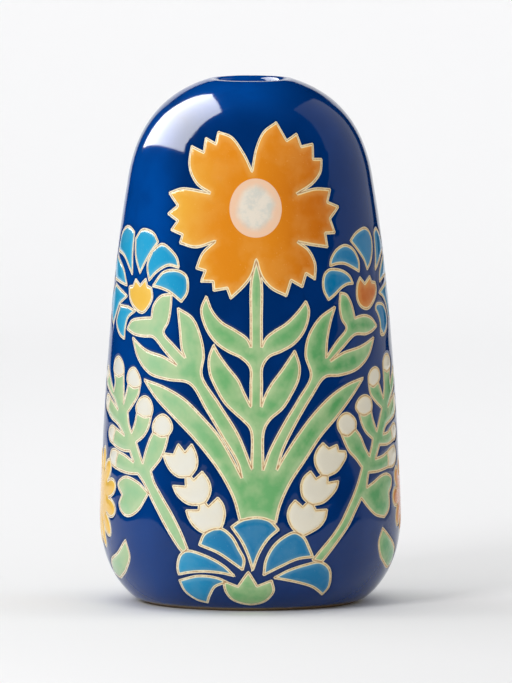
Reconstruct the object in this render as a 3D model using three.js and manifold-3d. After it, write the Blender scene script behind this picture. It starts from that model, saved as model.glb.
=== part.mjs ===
// A hand-made pottery vase: one hollow clay body, a clear-edged blue coat outside, a coat inside, and
// a picture of flowers made of separate pools of coloured glaze. Bare clay lines keep the pools apart.
// Millimetres, +Z up, origin at the middle of the foot, on the surface that the vase stands on.
import * as THREE from 'three';
import { mergeVertices } from 'three/addons/utils/BufferGeometryUtils.js';
import Module from 'manifold-3d';

const wasm = await Module();
wasm.setup();

// Driving dimensions of the pot.
const HEIGHT = 250;
const GREATEST_RADIUS = 71.7;
const FOOT_RADIUS = 50;
const GLAZE_EDGE_RADIUS = 53.5;
const GLAZE_EDGE_HEIGHT = 1.2;
const MOUTH_RADIUS = 14.3;
const WALL = 5.5;
const FOOT_RING_WIDTH = 8;
const FOOT_RECESS = 2;
const FLOOR = 8;
const FLOOR_RADIUS = 47;
const LEAST_WALL_HEIGHT = 12;
const THROAT_BOTTOM = 9;
const THROAT_TOP = 7.5;

// Driving dimensions of the glaze. Depths are measured inward from the glazed surface.
const COAT = 0.7;
const POOL_RISE = 0.2;
const CLAY_DEPTH = 1.4;
const LINER_GAP = 0.4;
const LINE_HALF = 0.65;

// How finely the round shapes are divided.
const ROUND_STEPS = 36;
const SIDE_STEPS = [4, 5, 5, 3];
const BAND_STEPS = 12;
const SAMPLES_PER_CURVE = 40;
const GREATEST_SAG = 0.45;

// Outlines are drawn on the unrolled side of the vase: millimetres round it, at this radius, from the
// middle of the front, and millimetres up.
const DRAWING_RADIUS = 70;

const FINISHES = {
  bare_clay: { color: 0xe9dcc0, roughness: 0.75, metalness: 0 },
  ground_blue: { color: 0x0b3473, roughness: 0.12, metalness: 0 },
  liner_blue: { color: 0x2f6fae, roughness: 0.15, metalness: 0 },
  flower_orange: { color: 0xe0872a, roughness: 0.16, metalness: 0 },
  leaf_green: { color: 0x74b17c, roughness: 0.16, metalness: 0 },
  petal_turquoise: { color: 0x1f8fc2, roughness: 0.14, metalness: 0 },
  bud_white: { color: 0xe8e0d2, roughness: 0.2, metalness: 0 },
  disc_cream: { color: 0xe6cfbb, roughness: 0.22, metalness: 0 },
};

const BIG_FLOWER = [
  [1, 210], [4, 221], [9, 228], [19, 232], [24, 224], [32, 227], [33, 221], [42, 222],
  [40, 215], [46, 214.5], [44, 209], [38, 204], [27, 199], [39, 201], [49.5, 200],
  [46.5, 194.5], [54, 192], [47, 187], [49.5, 180], [43, 180], [44, 173.5], [34, 175],
  [26, 176.5], [32, 172.5], [35.5, 166], [35, 159], [30, 161.5], [27.5, 155.5],
  [21.5, 158.5], [19, 151.5], [11, 155], [6, 160.5], [3.4, 168], [0.5, 161],
  [-4, 156], [-10, 150.5], [-12, 155], [-19, 154], [-19.5, 158], [-26, 158], [-24, 163],
  [-29, 164], [-26, 171], [-19, 177], [-30, 174], [-39.5, 175.5], [-38.5, 179.5],
  [-46, 181.5], [-42, 186], [-49, 189], [-43, 193], [-50, 198.5], [-41, 201], [-23, 199.5],
  [-32, 204], [-38, 212], [-39, 221], [-29.5, 218.5], [-30, 225], [-22.5, 222.5],
  [-22, 228], [-12, 225.5], [-4, 218],
];

const PLANT = [
  [3.3, 163], [5.7, 155], [5.6, 127], [12, 134.5], [24.5, 143], [29, 148.5],
  [30.5, 143], [27, 134], [15.5, 125.5], [5.8, 118], [5.6, 99], [10.5, 109.5],
  [22, 125], [24.6, 117], [19.5, 103.5], [10, 94], [6, 87], [6, 69], [16.5, 91],
  [31.5, 114], [28, 123], [33, 136], [46.4, 145], [41, 132], [39.5, 122], [53.5, 134.5],
  [50, 144], [51, 149.5], [58, 144.5], [60, 138.5], [70, 138.3], [79.5, 133.5],
  [68, 131], [58.5, 131], [41.8, 119.5], [60, 124.5], [75, 128.5], [66, 118],
  [52, 112.5], [38.5, 112.6], [24, 93.5], [12.4, 69], [23.5, 85.5], [42, 103],
  [63.5, 110.5], [44, 92.5], [26, 73], [14, 52.5], [12, 43.4], [4, 46], [-4.8, 45],
  [-7.6, 55.5], [-19, 74], [-38.6, 93], [-58, 110], [-33.3, 101.8], [-15, 84.5],
  [-4, 65], [-13.3, 85], [-30.5, 109.5], [-43, 111], [-59, 116], [-69.5, 129],
  [-52, 122.5], [-37.5, 118], [-53.6, 130.3], [-68, 130.5], [-75.5, 133], [-66, 139.5],
  [-55.5, 139.5], [-53, 147.5], [-43.3, 151], [-43.3, 140.5], [-47, 133.5], [-33.5, 121.5],
  [-37, 134.5], [-38.8, 144.5], [-28, 138], [-23.4, 123], [-24.5, 114], [-9.5, 92],
  [0.5, 70], [0.4, 88.5], [-11, 99], [-20.6, 117], [-18.5, 127.5], [-8, 114], [0.2, 99],
  [0.2, 118], [-12, 125.5], [-23.5, 137], [-23, 150.8], [-17, 141], [0.3, 127],
  [0.4, 155],
];

// The petals round the two side flowers, from the top one towards the middle of the front and round.
const LEFT_PETALS = [
  [[-75, 159], [-77, 170], [-77.5, 179], [-89, 180.5], [-99, 176.5], [-101, 169], [-86, 165.5]],
  [[-67.5, 160], [-62, 168.5], [-55, 175.5], [-63.5, 180.5], [-70, 180.5], [-75, 176], [-73, 168]],
  [[-59.5, 157], [-50, 163.5], [-39.5, 164.3], [-44, 171.5], [-51.5, 174.7], [-59, 171], [-61.5, 164]],
  [[-56, 154.5], [-44, 152.3], [-36.5, 148], [-33, 155], [-37, 162], [-49.5, 161]],
  [[-77, 142.8], [-69, 142], [-76.5, 137], [-78, 128], [-87, 132], [-90, 138.5], [-86, 143.5]],
  [[-79, 148], [-90, 151], [-101, 151.5], [-106, 146], [-104, 138], [-95, 134], [-88, 143]],
  [[-79, 153.5], [-88, 161], [-103, 165.8], [-106.5, 160], [-104.5, 155], [-92, 154]],
];

const RIGHT_PETALS = [
  [[83.9, 160.4], [86.3, 165.8], [87.8, 172.6], [88.7, 177.6], [93.3, 179.2], [98.8, 177],
   [104, 173.2], [107.3, 169.5], [95.5, 165.8], [88.7, 162.6]],
  [[61.4, 175.6], [65.8, 178.4], [71.2, 180.1], [76.5, 180.6], [80.8, 178.9], [83.2, 175.4],
   [83, 171.3], [81.1, 167.4], [78.2, 163.9], [74.3, 161.3], [72.3, 165.5], [68, 169.9]],
  [[45.1, 164.6], [45.9, 167.5], [49, 171], [52.9, 173], [56.9, 173.6], [61.6, 172.1], [64.8, 169.3],
   [66.8, 165.1], [66.2, 160.8], [61, 163], [55.1, 165.1], [50.2, 165.4]],
  [[42.7, 148.6], [40.2, 153], [40, 157.5], [41.3, 160.7], [44.2, 162.6], [48.8, 162.6], [54.1, 161.3],
   [58.4, 158.6], [60.2, 155.4], [56.2, 155.4], [51.6, 153.9], [46.7, 150.8]],
  [[83.9, 129.8], [84.4, 133], [84.2, 136.3], [82.2, 139.6], [79.9, 142.4], [81.4, 144], [86.2, 144.2],
   [92.7, 142.4], [96.5, 138.6], [96.6, 134.4], [92.6, 131], [87.8, 129.2]],
  [[86.4, 149.3], [94.8, 151.3], [106.5, 152.6], [110.5, 148], [110, 140], [103.5, 135.5], [99, 142],
   [94, 146.4]],
  [[88.8, 154.5], [90.6, 158.3], [95.6, 161.9], [107.5, 165.6], [109.5, 160], [107, 156.6],
   [98, 156.2]],
];

const LEFT_FLOWER_HEART = [
  [-77, 153], [-73, 153.5], [-71, 156.7], [-66.5, 154], [-62, 157.2], [-60, 154], [-57, 153.5],
  [-56, 149], [-63, 141.3], [-72.5, 145],
];

const RIGHT_FLOWER_HEART = [
  [66.6, 157.8], [70.5, 154.6], [76.2, 157.7], [77.8, 155], [82.3, 154.4], [82.9, 151.6],
  [81.1, 148.3], [76.8, 145], [72, 142.9], [68.4, 143], [64.8, 144.7], [62.9, 147.7], [62.8, 151],
  [64, 155],
];

const FOOT_PETALS = [
  [[-8.6, 42], [-4.8, 44.6], [4, 45.4], [13, 40.6], [6.5, 34], [1.2, 21], [-2, 31]],
  [[6.5, 18.5], [9, 29.5], [19, 38.5], [26, 35.5], [30.5, 27], [17, 24]],
  [[12.4, 17.3], [28, 23.3], [38, 22.8], [42.6, 16.5], [42, 7.8], [28, 14]],
  [[-37.7, 15], [-26, 18], [-12, 14.7], [-19, 11.8], [-25.5, 4], [-35, 7]],
  [[-37.5, 18], [-36.5, 25], [-31, 30], [-20, 27], [-8, 18], [-22.6, 20]],
  [[-24, 33], [-19.5, 39.8], [-11, 38.8], [-5, 31], [-3.8, 21], [-14, 28.5]],
];

const CALYX = [
  [-1, 20], [3.5, 12.8], [10.6, 15.4], [12, 9], [2, 3.4], [-11, 6.5], [-13.5, 15.2],
  [-6.4, 12.7],
];

const LEFT_HEART_LEAF = [
  [-54.5, 56.5], [-62, 62], [-73, 62], [-72.5, 54.3], [-74.5, 48], [-65, 44.6],
];

const LEFT_LEAF = [
  [-69.5, 32.5], [-68.3, 25], [-75.5, 18], [-91.5, 12.8], [-101.5, 14.5], [-93, 20.7], [-79, 25.8],
];
const RIGHT_LEAF = [
  [75.6, 37.8], [73.2, 31.4], [77, 25], [84, 20.8], [95, 17.4], [103, 18.6], [98, 25.5], [90, 30],
  [83, 33.6],
];

// The tulip heads, from the top one down. Each shares the middle of its bottom line with the next.
const LEFT_TULIPS = [
  [[-31.4, 65.2], [-35.2, 65.2], [-39.2, 67.5], [-42.2, 71.3], [-44.1, 75.6], [-38.2, 75.2],
   [-35.7, 80.3], [-32.1, 76.4], [-28.7, 80.5], [-26.8, 76.9], [-25.8, 73.3], [-26.2, 69.6],
   [-29.1, 65.4]],
  [[-31.4, 65.2], [-31.1, 60.3], [-37.9, 60.5], [-36.5, 57.6], [-33.7, 54.7], [-29.7, 52.5],
   [-24.2, 52.2], [-21.6, 53.2], [-19.8, 56.1], [-19, 59.8], [-20.1, 63.8], [-23.1, 67.7],
   [-27.3, 63.6], [-29.1, 65.4]],
  [[-24.2, 52.2], [-24.5, 49.3], [-30.7, 49.1], [-29.8, 46.5], [-27.8, 43.2], [-24.7, 40.3],
   [-21.9, 38.9], [-18, 40.6], [-13.8, 41.2], [-12.6, 44.6], [-12.1, 48.6], [-13.1, 52.6],
   [-15.3, 55.6], [-19.9, 51.1], [-21.6, 53.2]],
];

const RIGHT_TULIPS = [
  [[35.4, 65.7], [33.5, 68], [31.9, 71.4], [31.8, 74.8], [33.3, 78], [36.1, 80.8], [39.3, 78],
   [43.9, 79.6], [44.8, 76.7], [49, 76.2], [49.1, 73.9], [46.9, 70.7], [43.4, 67.3], [38.2, 65.3]],
  [[35.4, 65.7], [32, 63.9], [29.2, 67.7], [26.2, 65.3], [24.7, 62.3], [24.5, 59], [25.3, 55.7],
   [27.6, 53.2], [30.1, 51.9], [35.4, 52.9], [39.7, 55.8], [43, 59.3], [44.1, 62.4], [38, 61.8],
   [38.2, 65.3]],
  [[27.6, 53.2], [25, 50.8], [21.3, 54.1], [19, 51.5], [17.8, 47.8], [18.3, 44.5], [20.2, 41],
   [22.5, 38.8], [25.3, 37.4], [29.1, 39.1], [33.5, 41.6], [36.4, 45.2], [37.4, 49.2], [31.6, 49.1],
   [30.1, 51.9]],
];

// The sprigs, each as one outline up its inner side and down its outer side. The right one ends in a leaf.
const LEFT_SPRIG = [
  [-35.2, 31.4], [-33, 28.8], [-30.6, 30.8], [-33.6, 38.5], [-38.5, 47], [-44.6, 55.4], [-49.4, 62],
  [-51.4, 66.8], [-45.8, 73], [-43.2, 78.3], [-41.6, 84.3], [-45.7, 83.6], [-50.5, 85.4],
  [-52.9, 81.3], [-55.3, 75.3], [-56.9, 70.2], [-59.2, 74.2], [-62.2, 79.8], [-57, 83.2],
  [-53.9, 87.6], [-52.5, 92.9], [-57.1, 92.2], [-62.5, 93.9], [-63.6, 88.9], [-66.1, 84], [-68.7, 88],
  [-70.2, 93.6], [-65.4, 98.3], [-62.2, 102.4], [-61.3, 106.4], [-65.9, 105.5], [-70.9, 106.9],
  [-72, 103.4], [-74.4, 97.2], [-74.8, 102.4], [-76.1, 111.4], [-81.3, 109.8], [-87.6, 110.8],
  [-85.6, 106.3], [-86.9, 102.2], [-91.7, 105.8], [-96.5, 109.5], [-100.6, 107.9], [-104.5, 105.5],
  [-98, 103.2], [-92, 101.2], [-84.6, 98], [-79.7, 93.8], [-85.6, 96.5], [-91.5, 98.7], [-93.7, 95.8],
  [-95, 92.3], [-87.8, 89.6], [-78.7, 87], [-72.1, 82.4], [-78.3, 84.3], [-81.5, 85], [-83.4, 81.6],
  [-84.2, 77.7], [-79.9, 76.5], [-72.1, 75.3], [-66.8, 75.4], [-63.4, 70.2], [-71, 73], [-77.2, 74.2],
  [-79.2, 70.6], [-79.6, 66.4], [-68.5, 64.9], [-60, 65], [-56.4, 61.8], [-52.8, 57.3], [-49.4, 52.3],
  [-44.4, 45.1], [-39.8, 38.2],
];

const RIGHT_SPRIG = [
  [35.9, 24.3], [30.9, 25.4], [35.4, 30.8], [40.8, 36.8], [45.7, 43.1], [49.8, 49.5], [53.3, 55],
  [56.4, 60.6], [59.8, 68], [55.7, 72.5], [51.4, 76.4], [48.4, 81.5], [47, 84.7], [50.8, 83.7],
  [56, 86.4], [59.5, 82.5], [62.3, 77.4], [65.6, 73], [67.9, 77.8], [68.9, 81], [63.6, 84.7],
  [60.7, 89], [59.1, 93.8], [63, 92.7], [68.7, 94.2], [69.9, 90], [72.8, 84.3], [75.5, 88.8],
  [79.3, 94.8], [73.3, 98.4], [68.9, 102.4], [67.8, 107.3], [71.7, 105.7], [77, 107.5], [79.1, 103.7],
  [81.6, 99.2], [83.5, 104.6], [83.9, 113.1], [89, 111.6], [95, 112.6], [93.2, 109.5], [93.4, 105.4],
  [97, 108.4], [100.8, 110.8], [103.4, 108.6], [105.4, 105.6], [101, 103.2], [96, 100.8], [91, 98],
  [86.8, 94.8], [92, 97], [97.5, 99], [99.5, 95.4], [100.4, 91], [95, 89.4], [89.8, 88.4], [83, 86.5],
  [79.1, 82.4], [84.7, 82.9], [89.6, 84.6], [91, 81.6], [91.3, 78.4], [83.7, 77.4], [74.9, 77.8],
  [70.4, 71.3], [77.7, 72.2], [83, 73.6], [84.2, 70.2], [83.2, 66.5], [72.3, 65.4], [64.5, 65.4],
  [63.3, 61.8], [62.7, 58.3], [68.7, 60.5], [75.3, 62.9], [81.9, 63.2], [87.2, 60.7], [86.6, 57.5],
  [83.1, 54.5], [83.3, 50.4], [82.5, 46.7], [77.1, 43.2], [69.3, 44.9], [63.8, 48.6], [58.6, 53.6],
  [54.1, 47.6], [49.8, 41.3], [43.9, 34.2], [39.4, 28.6],
];

// The buds on the sprigs' tips, four on the inner side and four on the outer side. Each shares the line
// across its foot with its sprig.
const LEFT_BUDS = [
  [[-41.6, 84.3], [-39.6, 87.8], [-41.2, 91.9], [-45.2, 93.9], [-49.6, 91.4], [-51, 88], [-50.5, 85.4],
   [-45.7, 83.6]],
  [[-52.5, 92.9], [-51.8, 96.4], [-53.7, 100.4], [-57, 101.9], [-60.8, 100.4], [-63.2, 96.4],
   [-62.5, 93.9], [-57.1, 92.2]],
  [[-61.3, 106.4], [-61, 108.8], [-62.6, 111.8], [-66.8, 114.8], [-70.8, 113.2], [-72.3, 109.4],
   [-70.9, 106.9], [-65.9, 105.5]],
  [[-76.1, 111.4], [-76.4, 114], [-78.6, 117], [-83.4, 118.9], [-88.2, 116.6], [-89.2, 113.2],
   [-87.6, 110.8], [-81.3, 109.8]],
  [[-77.2, 74.2], [-81.4, 75], [-85.6, 74], [-87.3, 71.2], [-85, 68], [-79.6, 66.4], [-79.2, 70.6]],
  [[-81.5, 85], [-85.6, 85.8], [-89.6, 84.8], [-91.2, 82.2], [-89, 79.2], [-84.2, 77.7], [-83.4, 81.6]],
  [[-91.5, 98.7], [-95.4, 99.9], [-100, 99], [-102, 96.4], [-99.6, 93.8], [-95, 92.3], [-93.7, 95.8]],
  [[-96.5, 109.5], [-99.6, 111.8], [-103.6, 112.8], [-106.8, 110.8], [-107, 107.6], [-104.5, 105.5],
   [-100.6, 107.9]],
];

const RIGHT_BUDS = [
  [[47, 84.7], [45.1, 87.8], [45.2, 91.1], [47.5, 93.5], [50.9, 94.3], [54.2, 92.7], [56.4, 90],
   [56, 86.4], [50.8, 83.7]],
  [[59.1, 93.8], [57, 96.6], [58.3, 99.4], [61.1, 101.4], [65.2, 101.8], [68.7, 99.9], [69.5, 96.8],
   [68.7, 94.2], [63, 92.7]],
  [[67.8, 107.3], [68.2, 111], [71, 113.7], [75.4, 114.4], [78.6, 112.5], [78.8, 109.8], [77, 107.5],
   [71.7, 105.7]],
  [[83.9, 113.1], [84.2, 116.4], [87.4, 119.2], [92.3, 119.4], [96, 117], [96.6, 114.6], [95, 112.6],
   [89, 111.6]],
  [[83, 73.6], [89.3, 75.4], [95, 75.2], [97.6, 71.6], [95, 68], [90, 66.4], [83.2, 66.5],
   [84.2, 70.2]],
  [[89.6, 84.6], [95, 86.2], [100, 85], [101.2, 82], [98, 79.3], [91.3, 78.4], [91, 81.6]],
  [[97.5, 99], [101.6, 99.8], [105.6, 98.6], [106.8, 95.6], [104.8, 92.6], [100.4, 91], [99.5, 95.4]],
  [[100.8, 110.8], [103.4, 112.6], [106.4, 112], [107.8, 109.4], [107.4, 107], [105.4, 105.6],
   [103.4, 108.6]],
];

const DISC = { across: 3, up: 192.7, halfWidth: 14.7, halfHeight: 13.8, sides: 24 };
const LEFT_DAISY = { across: -102.8, up: 51, tip: 24.2, notch: 13, petals: 12, turn: 0.3, sides: 60 };
const RIGHT_DAISY = { across: 106.5, up: 51.5, tip: 17.8, notch: 9.5, petals: 8, turn: 0, sides: 40 };

// ---- the pot's profile: radius against height ----

function bezier(...points) {
  return new THREE.CubicBezierCurve(...points.map(([radius, height]) => new THREE.Vector2(radius, height)));
}

// The glazed surface outside, from the lower edge of the glaze, over the shoulder, into the mouth.
const SIDE_CURVES = [
  bezier([GLAZE_EDGE_RADIUS, GLAZE_EDGE_HEIGHT], [60, 5], [73.2, 18], [GREATEST_RADIUS, 46]),
  bezier([GREATEST_RADIUS, 46], [70.3, 92], [65.8, 160], [58.8, 199]),
  bezier([58.8, 199], [56.2, 219], [48.4, 240], [22, HEIGHT - 1]),
  bezier([22, HEIGHT - 1], [19.5, HEIGHT], [14.5, HEIGHT + 1.2], [MOUTH_RADIUS, HEIGHT - 4]),
];

function profile(depth) {
  const points = [];
  SIDE_CURVES.forEach((curve, index) => {
    const steps = SIDE_STEPS[index];
    for (let step = index === 0 ? 0 : 1; step <= steps; step += 1) {
      const tangent = curve.getTangent(step / steps);
      const point = curve.getPoint(step / steps);
      points.push(new THREE.Vector2(point.x - tangent.y * depth, point.y + tangent.x * depth));
    }
  });
  return points;
}

// Samples of the glazed surface, each with its distance along the profile from the lower glaze edge.
const surfaceSamples = sampleSurface();

function sampleSurface() {
  const samples = [];
  let along = 0;
  SIDE_CURVES.forEach((curve) => {
    for (let step = 0; step <= SAMPLES_PER_CURVE; step += 1) {
      const point = curve.getPoint(step / SAMPLES_PER_CURVE);
      const last = samples[samples.length - 1];
      if (last) along += point.distanceTo(last.point);
      samples.push({ along, point, tangent: curve.getTangent(step / SAMPLES_PER_CURVE) });
    }
  });
  return samples;
}

const PROFILE_LENGTH = surfaceSamples[surfaceSamples.length - 1].along;

function between(low, high, part) {
  return {
    along: THREE.MathUtils.lerp(low.along, high.along, part),
    point: low.point.clone().lerp(high.point, part),
    tangent: low.tangent.clone().lerp(high.tangent, part).normalize(),
  };
}

function surfaceAt(along) {
  const found = surfaceSamples.findIndex((sample) => sample.along > along);
  const above = found < 0 ? surfaceSamples.length - 1 : Math.max(found, 1);
  const low = surfaceSamples[above - 1];
  const high = surfaceSamples[above];
  return between(low, high, (along - low.along) / (high.along - low.along));
}

// Turns a place in the drawing, millimetres round and millimetres up, into round and along the profile.
function unroll([across, up]) {
  const above = surfaceSamples.findIndex((sample) => sample.point.y > up);
  const low = surfaceSamples[above - 1];
  const high = surfaceSamples[above];
  return [across, between(low, high, (up - low.point.y) / (high.point.y - low.point.y)).along];
}

function placeOnSide(across, along, depth) {
  const { point, tangent } = surfaceAt(along);
  const angle = across / DRAWING_RADIUS;
  const reach = point.x - tangent.y * depth;
  return [reach * Math.sin(angle), -reach * Math.cos(angle), point.y + tangent.x * depth];
}

// ---- solids of revolution ----

function spin(points) {
  const lathe = new THREE.LatheGeometry(points, ROUND_STEPS);
  lathe.rotateX(Math.PI / 2);
  return closeUp(lathe);
}

// Joins the corners that lie on each other, and drops the triangles that this leaves with no area.
function closeUp(geometry) {
  geometry.deleteAttribute('normal');
  geometry.deleteAttribute('uv');
  const merged = mergeVertices(geometry, 1e-4);
  const corners = Array.from(merged.index.array);
  const kept = [];
  for (let index = 0; index < corners.length; index += 3) {
    const [a, b, c] = corners.slice(index, index + 3);
    if (a !== b && b !== c && c !== a) kept.push(a, b, c);
  }
  merged.setIndex(kept);
  return facingOut(merged);
}

function facingOut(geometry) {
  const position = geometry.attributes.position;
  const corners = Array.from(geometry.index.array);
  const [a, b, c] = [new THREE.Vector3(), new THREE.Vector3(), new THREE.Vector3()];
  let volume = 0;
  for (let index = 0; index < corners.length; index += 3) {
    a.fromBufferAttribute(position, corners[index]);
    b.fromBufferAttribute(position, corners[index + 1]);
    c.fromBufferAttribute(position, corners[index + 2]);
    volume += a.dot(b.cross(c));
  }
  if (volume < 0) corners.reverse();
  geometry.setIndex(corners);
  return geometry;
}

function clayBody() {
  const ring = FOOT_RADIUS - FOOT_RING_WIDTH;
  const foot = [[0, FOOT_RECESS], [ring - FOOT_RECESS, FOOT_RECESS], [ring, 0], [FOOT_RADIUS, 0]];
  const outside = profile(CLAY_DEPTH);
  const inside = insideProfile(WALL);
  const points = [...foot.map(([radius, height]) => new THREE.Vector2(radius, height)), ...outside, ...inside];
  return spin(points);
}

// The inside of the wall, from the neck down to the middle of the floor.
function insideProfile(depth) {
  const neck = profile(depth).slice(0, -SIDE_STEPS[3] - 1).reverse();
  const straight = ({ y }) => y > LEAST_WALL_HEIGHT && y < HEIGHT - THROAT_BOTTOM;
  const side = neck.filter((point, index) => index % 2 === 0 && straight(point));
  const floor = FLOOR + depth - WALL;
  const throat = MOUTH_RADIUS + CLAY_DEPTH - (depth - WALL);
  return [
    new THREE.Vector2(throat, HEIGHT - THROAT_TOP - (depth - WALL)),
    ...side,
    new THREE.Vector2(FLOOR_RADIUS, floor),
    new THREE.Vector2(0, floor),
  ];
}

function linerGlaze() {
  const near = insideProfile(WALL + LINER_GAP).reverse();
  const far = insideProfile(WALL + LINER_GAP + COAT);
  return spin([...near, ...far]);
}

// ---- outlines and what is made of them ----

// Moves an outline outward, or inward where the distance is negative. A sharp tip moves twice as far.
function grow(outline, distance) {
  const turning = THREE.ShapeUtils.isClockWise(outline.map(([x, y]) => new THREE.Vector2(x, y))) ? -1 : 1;
  return outline.map((point, index) => {
    const before = outline[(index + outline.length - 1) % outline.length];
    const after = outline[(index + 1) % outline.length];
    const into = new THREE.Vector2(point[0] - before[0], point[1] - before[1]).normalize();
    const onward = new THREE.Vector2(after[0] - point[0], after[1] - point[1]).normalize();
    const normal = new THREE.Vector2(into.y + onward.y, -into.x - onward.x).normalize();
    const reach = Math.min(1 / Math.max(normal.dot(new THREE.Vector2(into.y, -into.x)), 0.01), 2);
    const move = distance * turning * reach;
    return [point[0] + normal.x * move, point[1] + normal.y * move];
  });
}

// A flat plate, one millimetre thick, under an outline in the drawing.
function plate(outline) {
  const shape = new THREE.Shape(outline.map(([x, y]) => new THREE.Vector2(x, y)));
  return toSolid(closeUp(new THREE.ExtrudeGeometry(shape, { depth: 1, bevelEnabled: false })));
}

// Bends a flat plate round the pot: its top becomes the glazed surface, or stands proud of it by the
// rise, and its underside becomes the coat's inside.
function bend(solid, rise) {
  const { numProp, vertProperties, triVerts } = solid.getMesh();
  const points = [];
  const numbers = new Map();
  const numberOf = (vertex) => {
    if (!numbers.has(vertex)) {
      numbers.set(vertex, points.length);
      points.push([vertProperties[vertex * numProp], vertProperties[vertex * numProp + 1]]);
    }
    return numbers.get(vertex);
  };
  const faces = [];
  for (let index = 0; index < triVerts.length; index += 3) {
    const face = Array.from(triVerts.slice(index, index + 3));
    if (face.every((vertex) => vertProperties[vertex * numProp + 2] > 0.5)) faces.push(face.map(numberOf));
  }
  const split = splitLongEdges(points, faces);
  return facingOut(thicken(split.points, joinSeam(split), -rise, COAT));
}

// Where a plate goes all the way round, its two ends share their corners.
function joinSeam({ points, faces }) {
  const half = Math.PI * DRAWING_RADIUS;
  const key = ([across, along]) => (Math.abs(across) > half - 0.001 ? along.toFixed(3) : null);
  const start = new Map();
  points.forEach((point, index) => {
    if (point[0] < 0 && key(point)) start.set(key(point), index);
  });
  const shared = points.map((point, index) => (point[0] > 0 && key(point) ? start.get(key(point)) : index));
  return faces.map((face) => face.map((corner) => shared[corner]));
}

// How far a straight edge between two places on the side runs under the curved surface.
function sag(start, end, halfway) {
  const [from, to, over] = [start, end, halfway].map(([x, y]) => new THREE.Vector3(...placeOnSide(x, y, 0)));
  return from.add(to).multiplyScalar(0.5).distanceTo(over);
}

function splitLongEdges(points, faces) {
  let current = faces;
  const middles = new Map();
  const middle = (a, b) => {
    const key = a < b ? `${a},${b}` : `${b},${a}`;
    if (middles.has(key)) return middles.get(key);
    const halfway = [(points[a][0] + points[b][0]) / 2, (points[a][1] + points[b][1]) / 2];
    if (sag(points[a], points[b], halfway) < GREATEST_SAG) return -1;
    points.push(halfway);
    middles.set(key, points.length - 1);
    return points.length - 1;
  };
  for (;;) {
    const next = current.flatMap(([a, b, c]) => splitFace(a, b, c, middle(a, b), middle(b, c), middle(c, a)));
    if (next.length === current.length) return { points, faces: next };
    current = next;
  }
}

function splitFace(a, b, c, ab, bc, ca) {
  if (ab < 0 && bc < 0 && ca < 0) return [[a, b, c]];
  if (ab >= 0 && bc >= 0 && ca >= 0) return [[a, ab, ca], [ab, b, bc], [ca, bc, c], [ab, bc, ca]];
  if (ab < 0 && bc < 0) return [[a, b, ca], [ca, b, c]];
  if (bc < 0 && ca < 0) return [[b, c, ab], [ab, c, a]];
  if (ca < 0 && ab < 0) return [[c, a, bc], [bc, a, b]];
  if (ab < 0) return [[c, ca, bc], [ca, a, bc], [a, b, bc]];
  if (bc < 0) return [[a, ab, ca], [ab, b, ca], [b, c, ca]];
  return [[b, bc, ab], [bc, c, ab], [c, a, ab]];
}

function thicken(points, faces, outerDepth, innerDepth) {
  const positions = [];
  points.forEach(([across, up]) => positions.push(...placeOnSide(across, up, outerDepth)));
  points.forEach(([across, up]) => positions.push(...placeOnSide(across, up, innerDepth)));
  const under = points.length;
  const open = new Map();
  const corners = [];
  faces.forEach(([a, b, c]) => {
    corners.push(a, b, c, c + under, b + under, a + under);
    [[a, b], [b, c], [c, a]].forEach(([from, to]) => {
      if (!open.delete(`${to},${from}`)) open.set(`${from},${to}`, [from, to]);
    });
  });
  open.forEach(([from, to]) => corners.push(from, from + under, to, to, from + under, to + under));
  const geometry = new THREE.BufferGeometry();
  geometry.setAttribute('position', new THREE.Float32BufferAttribute(positions, 3));
  geometry.setIndex(corners);
  return geometry;
}

// ---- joins and cuts ----

function toSolid(geometry) {
  return new wasm.Manifold(new wasm.Mesh({
    numProp: 3,
    vertProperties: new Float32Array(geometry.attributes.position.array),
    triVerts: new Uint32Array(geometry.index.array),
  }));
}

// ---- the picture ----

function ellipse({ across, up, halfWidth, halfHeight, sides }) {
  const outline = [];
  for (let side = 0; side < sides; side += 1) {
    const angle = (side / sides) * 2 * Math.PI;
    outline.push([across + halfWidth * Math.cos(angle), up + halfHeight * Math.sin(angle)]);
  }
  return outline;
}

function daisy({ across, up, tip, notch, petals, turn, sides }) {
  const outline = [];
  for (let side = 0; side < sides; side += 1) {
    const angle = (side / sides) * 2 * Math.PI;
    const swell = Math.sqrt(Math.abs(Math.cos((angle - turn) * petals / 2)));
    const radius = notch + (tip - notch) * swell;
    outline.push([across + radius * Math.cos(angle), up + radius * Math.sin(angle)]);
  }
  return outline;
}

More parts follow.
